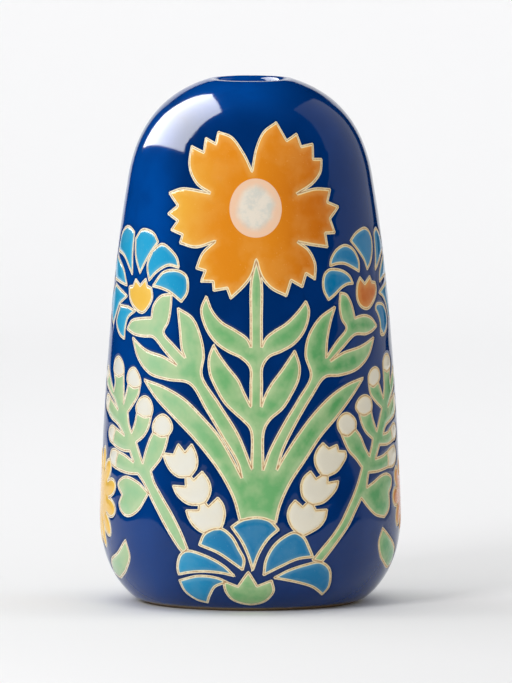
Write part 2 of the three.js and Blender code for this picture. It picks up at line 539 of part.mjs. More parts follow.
// Each pool of glaze: its name, its finish, and the outlines that together make its shape.
function pools() {
  const list = [
    { name: 'big_flower', finish: 'flower_orange', outline: BIG_FLOWER, hole: ellipse(DISC) },
    { name: 'big_flower_disc', finish: 'disc_cream', outline: ellipse(DISC) },
    { name: 'plant', finish: 'leaf_green', outline: PLANT },
    { name: 'calyx', finish: 'leaf_green', outline: CALYX },
    { name: 'heart_leaf_left', finish: 'leaf_green', outline: LEFT_HEART_LEAF },
    { name: 'side_leaf_left', finish: 'leaf_green', outline: LEFT_LEAF },
    { name: 'side_leaf_right', finish: 'leaf_green', outline: RIGHT_LEAF },
    { name: 'side_daisy_left', finish: 'flower_orange', outline: daisy(LEFT_DAISY) },
    { name: 'side_daisy_right', finish: 'flower_orange', outline: daisy(RIGHT_DAISY) },
    { name: 'side_heart_left', finish: 'flower_orange', outline: LEFT_FLOWER_HEART },
    { name: 'side_heart_right', finish: 'flower_orange', outline: RIGHT_FLOWER_HEART },
    { name: 'sprig_left', finish: 'leaf_green', outline: LEFT_SPRIG },
    { name: 'sprig_right', finish: 'leaf_green', outline: RIGHT_SPRIG },
  ];
  const addRow = (name, finish, outlines) => {
    outlines.forEach((outline, index) => list.push({ name: `${name}_${index + 1}`, finish, outline }));
  };
  addRow('side_petal_left', 'petal_turquoise', LEFT_PETALS);
  addRow('side_petal_right', 'petal_turquoise', RIGHT_PETALS);
  addRow('tulip_left', 'bud_white', LEFT_TULIPS);
  addRow('tulip_right', 'bud_white', RIGHT_TULIPS);
  addRow('bud_left', 'bud_white', LEFT_BUDS);
  addRow('bud_right', 'bud_white', RIGHT_BUDS);
  addRow('foot_petal', 'petal_turquoise', FOOT_PETALS);
  return list;
}

function poolGeometry(pool) {
  const whole = plate(grow(pool.outline.map(unroll), -LINE_HALF));
  const flat = pool.hole ? whole.subtract(plate(grow(pool.hole.map(unroll), LINE_HALF))) : whole;
  return bend(flat, POOL_RISE);
}

// The blue coat covers the whole outside, with a window for each pool and for the bare line round it.
function groundGlaze(list) {
  const width = 2 * Math.PI * DRAWING_RADIUS;
  const box = new THREE.BoxGeometry(width, PROFILE_LENGTH, 1, ROUND_STEPS, BAND_STEPS, 1);
  box.translate(0, PROFILE_LENGTH / 2, 0.5);
  const all = toSolid(closeUp(box));
  const windows = list.map((pool) => plate(grow(pool.outline.map(unroll), LINE_HALF)));
  return bend(windows.reduce((coat, window) => coat.subtract(window), all), 0);
}

function mesh(name, geometry, finish) {
  const result = new THREE.Mesh(geometry, new THREE.MeshStandardMaterial(FINISHES[finish]));
  result.name = name;
  return result;
}

const vase = new THREE.Group();
const picture = pools();
vase.add(mesh('clay_body', clayBody(), 'bare_clay'));
vase.add(mesh('liner_glaze', linerGlaze(), 'liner_blue'));
vase.add(mesh('ground_glaze', groundGlaze(picture), 'ground_blue'));
picture.forEach((pool) => vase.add(mesh(pool.name, poolGeometry(pool), pool.finish)));

export default vase;
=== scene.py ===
"""A pottery vase: fired clay, a cobalt coat, and flowers in raised pools of coloured glaze.

The picture is drawn on the unrolled side of the pot. Every outline in it is a bare clay line; the glaze
stands up on both sides of the line and rounds off towards it. All drawing numbers are millimetres.
"""

import math

import bpy
import numpy as np
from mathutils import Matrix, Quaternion, Vector
from mathutils.geometry import delaunay_2d_cdt
from mathutils.kdtree import KDTree


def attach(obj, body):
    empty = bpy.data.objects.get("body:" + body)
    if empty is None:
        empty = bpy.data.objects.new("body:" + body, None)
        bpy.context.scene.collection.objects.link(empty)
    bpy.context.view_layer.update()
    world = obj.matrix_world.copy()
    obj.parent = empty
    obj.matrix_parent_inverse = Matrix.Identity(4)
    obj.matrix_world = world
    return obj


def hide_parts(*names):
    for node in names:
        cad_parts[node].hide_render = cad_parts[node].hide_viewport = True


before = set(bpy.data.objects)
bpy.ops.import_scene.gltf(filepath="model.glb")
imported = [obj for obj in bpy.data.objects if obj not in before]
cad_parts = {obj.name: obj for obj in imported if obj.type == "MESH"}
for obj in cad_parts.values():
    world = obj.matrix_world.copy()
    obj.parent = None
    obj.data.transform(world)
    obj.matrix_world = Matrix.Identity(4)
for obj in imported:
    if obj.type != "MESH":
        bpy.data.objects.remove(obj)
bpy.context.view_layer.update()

MM = 0.001
DRAWING_RADIUS = 70.0
HALF_TURN = math.pi * DRAWING_RADIUS

# ---- the pot's profile, as in the solid model: radius against height ----

HEIGHT = 250.0
MOUTH_RADIUS = 14.3
SIDE_CURVES = [
    [(53.5, 1.2), (60, 5), (73.2, 18), (71.7, 46)],
    [(71.7, 46), (70.3, 92), (65.8, 160), (58.8, 199)],
    [(58.8, 199), (56.2, 219), (48.4, 240), (22, HEIGHT - 1)],
    [(22, HEIGHT - 1), (19.5, HEIGHT), (14.5, HEIGHT + 1.2), (MOUTH_RADIUS, HEIGHT - 4)],
]
WALL = 5.5
LINER_DEPTH = 6.6
FLOOR = 8.0


def bezier(points, steps):
    """Points and directions along one cubic curve."""
    a, b, c, d = (np.array(p, float) for p in points)
    t = np.linspace(0, 1, steps)[:, None]
    place = (1 - t) ** 3 * a + 3 * (1 - t) ** 2 * t * b + 3 * (1 - t) * t * t * c + t ** 3 * d
    direction = 3 * (1 - t) ** 2 * (b - a) + 6 * (1 - t) * t * (c - b) + 3 * t * t * (d - c)
    return place, direction / np.linalg.norm(direction, axis=1)[:, None]


def make_profile():
    """The glazed surface as a table: distance along, place and direction."""
    places, directions = zip(*(bezier(curve, 160) for curve in SIDE_CURVES))
    place, direction = np.vstack(places), np.vstack(directions)
    steps = np.linalg.norm(np.diff(place, axis=0), axis=1)
    return np.concatenate([[0], np.cumsum(steps)]), place, direction


ALONG, PLACE, DIRECTION = make_profile()
PROFILE_LENGTH = ALONG[-1]
SIDE_END = int(np.argmax(PLACE[:, 1] >= HEIGHT - 1.01))


def along_at(height):
    return np.interp(height, PLACE[:SIDE_END, 1], ALONG[:SIDE_END])


def on_pot(points, raised):
    """Wraps places in the drawing round the pot, raised above the glazed surface. Gives metres."""
    points = np.asarray(points, float)
    raised = np.asarray(raised, float)
    radius = np.interp(points[:, 1], ALONG, PLACE[:, 0])
    height = np.interp(points[:, 1], ALONG, PLACE[:, 1])
    slope_out = np.interp(points[:, 1], ALONG, DIRECTION[:, 0])
    slope_up = np.interp(points[:, 1], ALONG, DIRECTION[:, 1])
    angle = points[:, 0] / DRAWING_RADIUS
    reach = radius + slope_up * raised
    lift = height - slope_out * raised
    return np.stack([reach * np.sin(angle), -reach * np.cos(angle), lift], axis=1) * MM


# ---- the drawing: outlines in millimetres round and up; a point marked C is a corner ----

C = 1
GROUND = -1
LINE = -2

BIG_FLOWER = [
    (1, 210, C), (4, 221), (9, 228), (19, 232.5, C), (24, 224, C), (32, 227, C), (33.3, 221, C),
    (42, 222, C), (40, 215, C), (46.3, 214.7, C), (44, 209), (38, 204), (27, 199, C), (39, 201),
    (49.5, 200.3, C), (46.5, 194.5, C), (54.3, 192, C), (47.3, 186.7, C), (49.8, 180, C), (43.2, 180, C),
    (44, 173.5, C), (34, 175), (26, 176.5, C), (32, 172.5), (35.6, 166), (35, 158.7, C), (30, 161.5, C),
    (27.5, 155.3, C), (21.5, 158.5, C), (18.7, 151.3, C), (11, 155), (6, 160.5), (3.2, 168.5, C),
    (0.5, 161), (-3.5, 156), (-10, 150.3, C), (-12, 155, C), (-19, 153.8, C), (-19.5, 158, C),
    (-26, 158, C), (-24, 163, C), (-29, 164, C), (-26, 171), (-19, 177, C), (-30, 174), (-39.7, 175.6, C),
    (-38.5, 179.5, C), (-46, 181.5, C), (-42.2, 185.9, C), (-49.2, 189, C), (-43, 193, C),
    (-50, 198.7, C), (-41, 201), (-23, 199.5, C), (-32, 204), (-38, 212), (-39, 221, C),
    (-29.5, 218.4, C), (-30, 225, C), (-22.5, 222.6, C), (-22, 228, C), (-12, 225.5), (-4, 218),
]

PLANT = [
    (3.2, 168, C), (5.7, 158), (5.6, 140), (5.6, 127, C), (8, 131.3), (12, 134.4), (18.4, 138),
    (24.5, 143.2), (29.3, 148.3, C), (30.7, 143.8), (28.2, 135.4), (22.5, 128.9), (15.6, 125.2),
    (9.3, 122.7), (5.9, 118), (5.5, 109), (5.3, 98.8, C), (7.1, 103.6), (10.3, 109.3), (16, 116.5),
    (22.4, 125, C), (24.6, 117.9), (24, 112), (20.4, 105), (15.6, 98.1), (9.3, 92.8), (6.4, 87.5),
    (6, 68.8, C), (9.5, 78.2), (16.5, 90.9), (24, 102.2), (30.7, 113), (28.2, 122.9), (30.3, 132),
    (37, 140.2), (46.4, 145, C), (43.4, 138.8), (40.6, 130), (39.5, 121.3, C), (46.5, 128.5),
    (53.3, 134.7), (50.6, 139), (49.6, 145), (50.6, 151.4, C), (54.8, 150.2), (57.8, 146),
    (59.9, 138.9, C), (64, 139.6), (69.5, 139.5), (75, 137.6), (79.4, 134, C), (73.8, 132), (68, 131),
    (59, 131.2), (50.5, 126), (41.8, 119.5, C), (50, 122.9), (62.8, 125.2), (75.2, 128.7, C),
    (69.2, 120.9), (59, 114.9), (47, 112.7), (38.3, 112.2), (30.3, 103), (21.6, 90), (15.4, 78.2),
    (12.5, 68.8, C), (16.3, 75.2), (23.5, 85.5), (32, 95.2), (42.2, 103.3), (52.6, 108), (63.3, 110.3, C),
    (55, 102.7), (44.1, 92.8), (34.8, 84.2), (26.2, 73), (18.9, 62.8), (14, 52.5), (11.8, 44, C),
    (4, 46.4), (-4.8, 45.2, C), (-7.6, 55.4), (-13, 65.8), (-19, 74.2), (-28.4, 84.4), (-38.6, 93.1),
    (-50, 102), (-58.2, 109.8, C), (-45.2, 107), (-33.3, 101.8), (-23.5, 93.6), (-15.2, 84.8),
    (-8.8, 74.4), (-3.9, 65, C), (-5.9, 72.5), (-13.3, 84.8), (-21.5, 97.5), (-30.3, 109.4), (-43, 110.9),
    (-54.8, 113.2), (-64.1, 120.2), (-69.4, 129, C), (-58.5, 123.9), (-46, 121.2), (-37.8, 117.7, C),
    (-46, 124.6), (-53.6, 130.4), (-60.2, 130.4), (-68.3, 130.9), (-75.5, 132.9, C), (-71.7, 136.8),
    (-63, 138.6), (-55.5, 139.3, C), (-54.7, 145), (-50.1, 149.8), (-43.2, 151.2, C), (-43.3, 144.7),
    (-44.4, 138), (-46.9, 133), (-40.2, 127), (-33.4, 121.5, C), (-35.4, 125.6), (-36.9, 134.5),
    (-38.7, 144.6, C), (-30.3, 140.3), (-25.6, 132), (-23.6, 123), (-24.4, 113.6), (-15.5, 100.4),
    (-6, 85.8), (0.7, 69.6, C), (0.3, 88), (-3.3, 92.5), (-7, 95.7), (-12.5, 101), (-16.7, 107.6),
    (-20, 114.6), (-20.6, 121.7), (-18.5, 127.7, C), (-15.9, 123.6), (-11.2, 117.6), (-6.1, 111.5),
    (-2.9, 104.9), (0.2, 99, C), (0.3, 109), (0, 117.5), (-4.2, 122), (-11.3, 125.3), (-17, 129),
    (-22.4, 135.6), (-25.4, 144.4), (-23, 150.8, C), (-19.8, 144.1), (-14.8, 138.9), (-7.3, 134.8),
    (-1.7, 131), (0.4, 127.2, C), (0.4, 140), (0.6, 158),
]

# The petals round the two side flowers, from the top one towards the middle of the front and round.
LEFT_PETALS = [
    [(-75, 159, C), (-77, 169), (-77.5, 178.5, C), (-83, 180.3), (-89.4, 180.3), (-98.8, 176),
     (-102, 168.5, C), (-87, 166.5)],
    [(-67.5, 160, C), (-64.9, 163.9), (-60.6, 169.4), (-55, 175.4, C), (-58.5, 178.8), (-63.5, 180.3),
     (-69.9, 180.1), (-75.2, 175.6, C), (-73.3, 168.1)],
    [(-59.3, 157, C), (-54.3, 161.2), (-46.2, 164.8), (-39.6, 164, C), (-41, 168), (-44.1, 171),
     (-51.7, 174.4), (-58.6, 170.8, C), (-61.7, 164.1)],
    [(-56, 154.5, C), (-49.7, 153.7), (-44, 152), (-37, 148, C), (-34, 152), (-33.6, 156), (-34.8, 160),
     (-40.2, 162.4), (-49.3, 161.2)],
    [(-76.5, 143.2, C), (-69.3, 141.8, C), (-76, 138), (-78, 133), (-77.9, 128, C), (-84.5, 129.9),
     (-90.5, 135.5), (-86.2, 143.2, C)],
    [(-78.7, 148.2, C), (-88, 150.5), (-99.3, 152.2, C), (-106, 146), (-104, 138), (-97, 133.6, C),
     (-88.5, 143.7, C)],
    [(-80, 153.3, C), (-87, 160.5), (-104.5, 165.8, C), (-107, 160), (-104.5, 154.8, C), (-97, 154.6)],
]

RIGHT_PETALS = [
    [(83.9, 160.4, C), (86.3, 165.8), (87.8, 172.6), (88.7, 177.6), (93.3, 179.2), (98.8, 177),
     (104, 173.2), (107.3, 169.5, C), (95.5, 165.8), (88.7, 162.6)],
    [(61.4, 175.6, C), (65.8, 178.4), (71.2, 180.1), (76.5, 180.6), (80.8, 178.9), (83.2, 175.4),
     (83, 171.3), (81.1, 167.4), (78.2, 163.9), (74.3, 161.3, C), (72.3, 165.5), (68, 169.9)],
    [(45.1, 164.6, C), (45.9, 167.5), (49, 171), (52.9, 173), (56.9, 173.6), (61.6, 172.1), (64.8, 169.3),
     (66.8, 165.1), (66.2, 160.8, C), (61, 163), (55.1, 165.1), (50.2, 165.4)],
    [(42.7, 148.6, C), (40.2, 153), (40, 157.5), (41.3, 160.7), (44.2, 162.6), (48.8, 162.6),
     (54.1, 161.3), (58.4, 158.6), (60.2, 155.4, C), (56.2, 155.4), (51.6, 153.9), (46.7, 150.8)],
    [(83.9, 129.8), (84.4, 133), (84.2, 136.3), (82.2, 139.6), (79.9, 142.4), (81.4, 144), (86.2, 144.2),
     (92.7, 142.4), (96.5, 138.6), (96.6, 134.4), (92.6, 131), (87.8, 129.2)],
    [(86.4, 149.3, C), (94.8, 151.3), (106.5, 152.6, C), (110.5, 148), (110, 140), (103.5, 135.5, C),
     (99, 142), (94, 146.4)],
    [(88.8, 154.5, C), (90.6, 158.3), (95.6, 161.9), (107.5, 165.6, C), (109.5, 160), (107, 156.6, C),
     (98, 156.2)],
]

LEFT_FLOWER_HEART = [
    (-77, 152.6, C), (-73, 153.3, C), (-70.9, 156.6, C), (-66.4, 154, C), (-62.1, 157.3, C),
    (-60.4, 154, C), (-57.2, 153.3, C), (-56.1, 149), (-58.5, 144.5), (-62.6, 141.5), (-70, 143.4),
    (-75.2, 147.5),
]

RIGHT_FLOWER_HEART = [
    (66.6, 157.8, C), (70.5, 154.6, C), (76.2, 157.7, C), (77.8, 155, C), (82.3, 154.4, C), (82.9, 151.6),
    (81.1, 148.3), (76.8, 145), (72, 142.9), (68.4, 143), (64.8, 144.7), (62.9, 147.7), (62.8, 151),
    (64, 155),
]

FOOT_PETALS = [
    [(-8.7, 42, C), (-3.8, 45.2), (3, 46.4), (9, 44.9), (13.1, 40.6, C), (8.3, 36.2), (4.1, 29.4),
     (1.2, 21.2, C), (-1.1, 28.6), (-3.9, 34.9)],
    [(6.7, 18.6, C), (7.5, 25.7), (11.2, 32.9), (16.9, 37.6), (21.2, 39), (25.5, 36.4), (28.3, 31.5),
     (30.6, 27, C), (23.1, 26.2), (14.4, 22.5)],
    [(12.2, 17.1, C), (19.1, 20.6), (28, 23.2), (35, 24.1), (40.6, 20.8), (42.8, 16.5), (43.8, 11),
     (42, 7.6, C), (33.6, 11.9), (23.8, 14.7)],
    [(-37.7, 14.9, C), (-26.1, 17.6), (-17, 16.9), (-12, 14.9, C), (-18.4, 12.6), (-21.8, 8.9),
     (-25.6, 3.9, C), (-31.5, 5.4), (-36.5, 9.5)],
    [(-37.3, 18, C), (-37, 22), (-34.4, 27.8), (-30.8, 29.8), (-21.8, 27.7), (-13.2, 23.1),
     (-8.1, 18.1, C), (-14, 19.4), (-22.6, 20), (-31, 19.3)],
    [(-24.3, 33, C), (-21.5, 38.4), (-14.4, 41.2), (-9, 37.6), (-5.3, 31), (-3, 26), (-3.8, 21.2, C),
     (-7.8, 24.2), (-15.4, 29.4)],
]

CALYX = [
    (-1, 20, C), (3.5, 12.8, C), (10.7, 15.6, C), (12.3, 10.1), (9.1, 5.6), (2.2, 3.4), (-5, 4),
    (-10.4, 6.2), (-13, 10), (-13.6, 15.4, C), (-6.4, 12.6, C),
]

LEFT_HEART_LEAF = [
    (-52.6, 56.2, C), (-59.8, 60.8), (-70.2, 62.7), (-76.4, 58.9), (-72.1, 54.1, C), (-74.6, 49.4),
    (-71, 45.5), (-66, 44.6), (-59.2, 47.8),
]

LEFT_LEAF = [
    (-69.5, 32.5, C), (-68.3, 25), (-75.5, 18), (-84, 14.4), (-92, 12.6), (-101.5, 14.5, C), (-93, 20.7),
    (-79, 25.8),
]

RIGHT_LEAF = [
    (75.6, 37.8, C), (73.2, 31.4), (77, 25), (84, 20.8), (95, 17.4), (103, 18.6, C), (98, 25.5), (90, 30),
    (83, 33.6),
]

# The tulip heads, from the top one down. Each shares the middle of its bottom line with the next.
LEFT_TULIPS = [
    [(-31.4, 65.2, C), (-35.2, 65.2), (-39.2, 67.5), (-42.2, 71.3), (-44.1, 75.6, C), (-38.2, 75.2, C),
     (-35.7, 80.3, C), (-32.1, 76.4, C), (-28.7, 80.5, C), (-26.8, 76.9), (-25.8, 73.3), (-26.2, 69.6),
     (-29.1, 65.4, C)],
    [(-31.4, 65.2, C), (-31.1, 60.3, C), (-37.9, 60.5, C), (-36.5, 57.6), (-33.7, 54.7), (-29.7, 52.5),
     (-24.2, 52.2, C), (-21.6, 53.2, C), (-19.8, 56.1), (-19, 59.8), (-20.1, 63.8), (-23.1, 67.7, C),
     (-27.3, 63.6, C), (-29.1, 65.4, C)],
    [(-24.2, 52.2, C), (-24.5, 49.3, C), (-30.7, 49.1, C), (-29.8, 46.5), (-27.8, 43.2), (-24.7, 40.3),
     (-21.9, 38.9, C), (-18, 40.6), (-13.8, 41.2, C), (-12.6, 44.6), (-12.1, 48.6), (-13.1, 52.6),
     (-15.3, 55.6, C), (-19.9, 51.1, C), (-21.6, 53.2, C)],
]
RIGHT_TULIPS = [
    [(35.4, 65.7, C), (33.5, 68), (31.9, 71.4), (31.8, 74.8), (33.3, 78), (36.1, 80.8, C), (39.3, 78, C),
     (43.9, 79.6, C), (44.8, 76.7, C), (49, 76.2, C), (49.1, 73.9), (46.9, 70.7), (43.4, 67.3),
     (38.2, 65.3, C)],
    [(35.4, 65.7, C), (32, 63.9, C), (29.2, 67.7, C), (26.2, 65.3), (24.7, 62.3), (24.5, 59),
     (25.3, 55.7), (27.6, 53.2, C), (30.1, 51.9, C), (35.4, 52.9), (39.7, 55.8), (43, 59.3),
     (44.1, 62.4, C), (38, 61.8, C), (38.2, 65.3, C)],
    [(27.6, 53.2, C), (25, 50.8, C), (21.3, 54.1, C), (19, 51.5), (17.8, 47.8), (18.3, 44.5), (20.2, 41),
     (22.5, 38.8, C), (25.3, 37.4, C), (29.1, 39.1), (33.5, 41.6), (36.4, 45.2), (37.4, 49.2, C),
     (31.6, 49.1, C), (30.1, 51.9, C)],
]

# The sprigs, each as one outline up its inner side and down its outer side. The right one ends in a leaf.
LEFT_SPRIG = [
    (-35.2, 31.4, C), (-33, 28.8, C), (-30.6, 30.8, C), (-33.6, 38.5), (-38.5, 47), (-44.6, 55.4),
    (-49.4, 62), (-51.4, 66.8, C), (-45.8, 73), (-43.2, 78.3), (-41.6, 84.3, C), (-45.7, 83.6),
    (-50.5, 85.4, C), (-52.9, 81.3), (-55.3, 75.3), (-56.9, 70.2, C), (-59.2, 74.2), (-62.2, 79.8, C),
    (-57, 83.2), (-53.9, 87.6), (-52.5, 92.9, C), (-57.1, 92.2), (-62.5, 93.9, C), (-63.6, 88.9),
    (-66.1, 84, C), (-68.7, 88), (-70.2, 93.6, C), (-65.4, 98.3), (-62.2, 102.4), (-61.3, 106.4, C),
    (-65.9, 105.5), (-70.9, 106.9, C), (-72, 103.4), (-74.4, 97.2, C), (-74.8, 102.4), (-76.1, 111.4, C),
    (-81.3, 109.8), (-87.6, 110.8, C), (-85.6, 106.3), (-86.9, 102.2, C), (-91.7, 105.8),
    (-96.5, 109.5, C), (-100.6, 107.9), (-104.5, 105.5, C), (-98, 103.2), (-92, 101.2), (-84.6, 98),
    (-79.7, 93.8, C), (-85.6, 96.5), (-91.5, 98.7, C), (-93.7, 95.8), (-95, 92.3, C), (-87.8, 89.6),
    (-78.7, 87), (-72.1, 82.4, C), (-78.3, 84.3), (-81.5, 85, C), (-83.4, 81.6), (-84.2, 77.7, C),
    (-79.9, 76.5), (-72.1, 75.3), (-66.8, 75.4, C), (-63.4, 70.2, C), (-71, 73), (-77.2, 74.2, C),
    (-79.2, 70.6), (-79.6, 66.4, C), (-68.5, 64.9), (-60, 65, C), (-56.4, 61.8), (-52.8, 57.3),
    (-49.4, 52.3), (-44.4, 45.1), (-39.8, 38.2),
]
RIGHT_SPRIG = [
    (35.9, 24.3, C), (30.9, 25.4, C), (35.4, 30.8), (40.8, 36.8), (45.7, 43.1), (49.8, 49.5), (53.3, 55),
    (56.4, 60.6), (59.8, 68, C), (55.7, 72.5), (51.4, 76.4), (48.4, 81.5), (47, 84.7, C), (50.8, 83.7),
    (56, 86.4, C), (59.5, 82.5), (62.3, 77.4), (65.6, 73, C), (67.9, 77.8), (68.9, 81, C), (63.6, 84.7),
    (60.7, 89), (59.1, 93.8, C), (63, 92.7), (68.7, 94.2, C), (69.9, 90), (72.8, 84.3, C), (75.5, 88.8),
    (79.3, 94.8, C), (73.3, 98.4), (68.9, 102.4), (67.8, 107.3, C), (71.7, 105.7), (77, 107.5, C),
    (79.1, 103.7), (81.6, 99.2, C), (83.5, 104.6), (83.9, 113.1, C), (89, 111.6), (95, 112.6, C),
    (93.2, 109.5), (93.4, 105.4, C), (97, 108.4), (100.8, 110.8, C), (103.4, 108.6), (105.4, 105.6, C),
    (101, 103.2), (96, 100.8), (91, 98), (86.8, 94.8, C), (92, 97), (97.5, 99, C), (99.5, 95.4),
    (100.4, 91, C), (95, 89.4), (89.8, 88.4), (83, 86.5), (79.1, 82.4, C), (84.7, 82.9), (89.6, 84.6, C),
    (91, 81.6), (91.3, 78.4, C), (83.7, 77.4), (74.9, 77.8, C), (70.4, 71.3, C), (77.7, 72.2),
    (83, 73.6, C), (84.2, 70.2), (83.2, 66.5, C), (72.3, 65.4), (64.5, 65.4, C), (63.3, 61.8),
    (62.7, 58.3, C), (68.7, 60.5), (75.3, 62.9), (81.9, 63.2), (87.2, 60.7), (86.6, 57.5),
    (83.1, 54.5, C), (83.3, 50.4), (82.5, 46.7), (77.1, 43.2, C), (69.3, 44.9), (63.8, 48.6),
    (58.6, 53.6, C), (54.1, 47.6), (49.8, 41.3), (43.9, 34.2), (39.4, 28.6),
]

# The buds on the sprigs' tips, four on the inner side and four on the outer side. Each shares the line
# across its foot with its sprig.
LEFT_BUDS = [
    [(-41.6, 84.3, C), (-39.6, 87.8), (-41.2, 91.9), (-45.2, 93.9), (-49.6, 91.4), (-51, 88),
     (-50.5, 85.4, C), (-45.7, 83.6)],
    [(-52.5, 92.9, C), (-51.8, 96.4), (-53.7, 100.4), (-57, 101.9), (-60.8, 100.4), (-63.2, 96.4),
     (-62.5, 93.9, C), (-57.1, 92.2)],
    [(-61.3, 106.4, C), (-61, 108.8), (-62.6, 111.8), (-66.8, 114.8), (-70.8, 113.2), (-72.3, 109.4),
     (-70.9, 106.9, C), (-65.9, 105.5)],
    [(-76.1, 111.4, C), (-76.4, 114), (-78.6, 117), (-83.4, 118.9), (-88.2, 116.6), (-89.2, 113.2),
     (-87.6, 110.8, C), (-81.3, 109.8)],
    [(-77.2, 74.2, C), (-81.4, 75), (-85.6, 74), (-87.3, 71.2), (-85, 68), (-79.6, 66.4, C),
     (-79.2, 70.6)],
    [(-81.5, 85, C), (-85.6, 85.8), (-89.6, 84.8), (-91.2, 82.2), (-89, 79.2), (-84.2, 77.7, C),
     (-83.4, 81.6)],
    [(-91.5, 98.7, C), (-95.4, 99.9), (-100, 99), (-102, 96.4), (-99.6, 93.8), (-95, 92.3, C),
     (-93.7, 95.8)],
    [(-96.5, 109.5, C), (-99.6, 111.8), (-103.6, 112.8), (-106.8, 110.8), (-107, 107.6),
     (-104.5, 105.5, C), (-100.6, 107.9)],
]
RIGHT_BUDS = [
    [(47, 84.7, C), (45.1, 87.8), (45.2, 91.1), (47.5, 93.5), (50.9, 94.3), (54.2, 92.7), (56.4, 90),
     (56, 86.4, C), (50.8, 83.7)],
    [(59.1, 93.8, C), (57, 96.6), (58.3, 99.4), (61.1, 101.4), (65.2, 101.8), (68.7, 99.9), (69.5, 96.8),
     (68.7, 94.2, C), (63, 92.7)],
    [(67.8, 107.3, C), (68.2, 111), (71, 113.7), (75.4, 114.4), (78.6, 112.5), (78.8, 109.8),
     (77, 107.5, C), (71.7, 105.7)],
    [(83.9, 113.1, C), (84.2, 116.4), (87.4, 119.2), (92.3, 119.4), (96, 117), (96.6, 114.6),
     (95, 112.6, C), (89, 111.6)],
    [(83, 73.6, C), (89.3, 75.4), (95, 75.2), (97.6, 71.6), (95, 68), (90, 66.4), (83.2, 66.5, C),
     (84.2, 70.2)],
    [(89.6, 84.6, C), (95, 86.2), (100, 85), (101.2, 82), (98, 79.3), (91.3, 78.4, C), (91, 81.6)],
    [(97.5, 99, C), (101.6, 99.8), (105.6, 98.6), (106.8, 95.6), (104.8, 92.6), (100.4, 91, C),
     (99.5, 95.4)],
    [(100.8, 110.8, C), (103.4, 112.6), (106.4, 112), (107.8, 109.4), (107.4, 107), (105.4, 105.6, C),
     (103.4, 108.6)],
]

DISC = (3.0, 192.7, 14.6, 13.9)
LEFT_DAISY = {"across": -102.8, "up": 51.0, "tip": 24.6, "notch": 13.0, "petals": 12, "turn": 0.30}
RIGHT_DAISY = {"across": 106.5, "up": 51.5, "tip": 18.0, "notch": 9.5, "petals": 8, "turn": 0.0}


# ---- from outlines to closed lines ----

TRACE_SPACING = 0.6


def smooth_run(start, bends, end, spacing):
    """A round curve from one corner through its bends to the next corner, without that last corner."""
    knots = np.array([start, *bends, end], float)
    gaps = np.sqrt(np.linalg.norm(np.diff(knots, axis=0), axis=1))
    times = np.concatenate([[0], np.cumsum(gaps)])
    slopes = np.gradient(knots, times, axis=0)
    points = []
    for i in range(len(knots) - 1):
        span = times[i + 1] - times[i]
        count = max(1, round(np.linalg.norm(knots[i + 1] - knots[i]) / spacing))
        t = (np.arange(count) / count)[:, None]
        h00 = 2 * t ** 3 - 3 * t ** 2 + 1
        h10 = t ** 3 - 2 * t ** 2 + t
        h01 = 3 * t ** 2 - 2 * t ** 3
        h11 = t ** 3 - t ** 2
        leaving = h00 * knots[i] + h10 * span * slopes[i]
        arriving = h01 * knots[i + 1] + h11 * span * slopes[i + 1]
        points.append(leaving + arriving)
    return np.vstack(points)


def trace(outline, spacing=TRACE_SPACING):
    """Turns corners and smooth stretches into one closed line of close points."""
    marks = [len(point) == 2 for point in outline]
    places = [point[:2] for point in outline]
    if all(marks):
        places = [places[-1], *places, places[0], places[1]]
        return smooth_run(places[0], places[1:-1], places[-1], spacing)
    first = marks.index(False)
    places = places[first:] + places[:first] + [places[first]]
    marks = marks[first:] + marks[:first] + [False]
    runs, start, bends = [], places[0], []
    for place, smooth in zip(places[1:], marks[1:]):
        if smooth:
            bends.append(place)
            continue
        runs.append(smooth_run(start, bends, place, spacing))
        start, bends = place, []
    return np.vstack(runs)


def ellipse(across, up, half_width, half_height, spacing=TRACE_SPACING):
    """An upright ellipse as a closed line."""
    count = round(math.pi * (half_width + half_height) / spacing)
    angles = np.linspace(0, 2 * math.pi, count, endpoint=False)
    return np.stack([across + half_width * np.cos(angles), up + half_height * np.sin(angles)], axis=1)


def daisy_outline(daisy, spacing=TRACE_SPACING):
    """A ring of round petals with a notch between each two, as a closed line."""
    count = round(3 * math.pi * daisy["tip"] / spacing)
    angles = np.linspace(0, 2 * math.pi, count, endpoint=False)
    swell = np.sqrt(np.abs(np.cos((angles - daisy["turn"]) * daisy["petals"] / 2)))
    radius = daisy["notch"] + (daisy["tip"] - daisy["notch"]) * swell
    across = daisy["across"] + radius * np.cos(angles)
    up = daisy["up"] + radius * np.sin(angles)
    return np.stack([across, up], axis=1)


def inside(points, line):
    """Which points lie inside a closed line."""
    result = np.zeros(len(points), bool)
    low, high = line.min(axis=0), line.max(axis=0)
    near = np.flatnonzero(np.all((points > low) & (points < high), axis=1))
    if not len(near):
        return result
    x, y = points[near, 0][:, None], points[near, 1][:, None]
    x0, y0 = line[:, 0], line[:, 1]
    x1, y1 = np.roll(x0, -1), np.roll(y0, -1)
    rise = np.where(y1 == y0, 1e-9, y1 - y0)
    crossed = ((y0 > y) != (y1 > y)) & (x < (x1 - x0) * (y - y0) / rise + x0)
    result[near] = crossed.sum(axis=1) % 2 == 1
    return result


def triangulate(points, edges):
    """Blender's constrained triangulation, as arrays."""
    vectors = [Vector(p) for p in points.tolist()]
    verts, _, faces, *_ = delaunay_2d_cdt(vectors, edges, [], 0, 1e-4, False)
    return np.array([v[:] for v in verts]), np.array(faces)


def loop_edges(start, count):
    """The edges of one closed line whose points are numbered from start."""
    return [(start + i, start + (i + 1) % count) for i in range(count)]


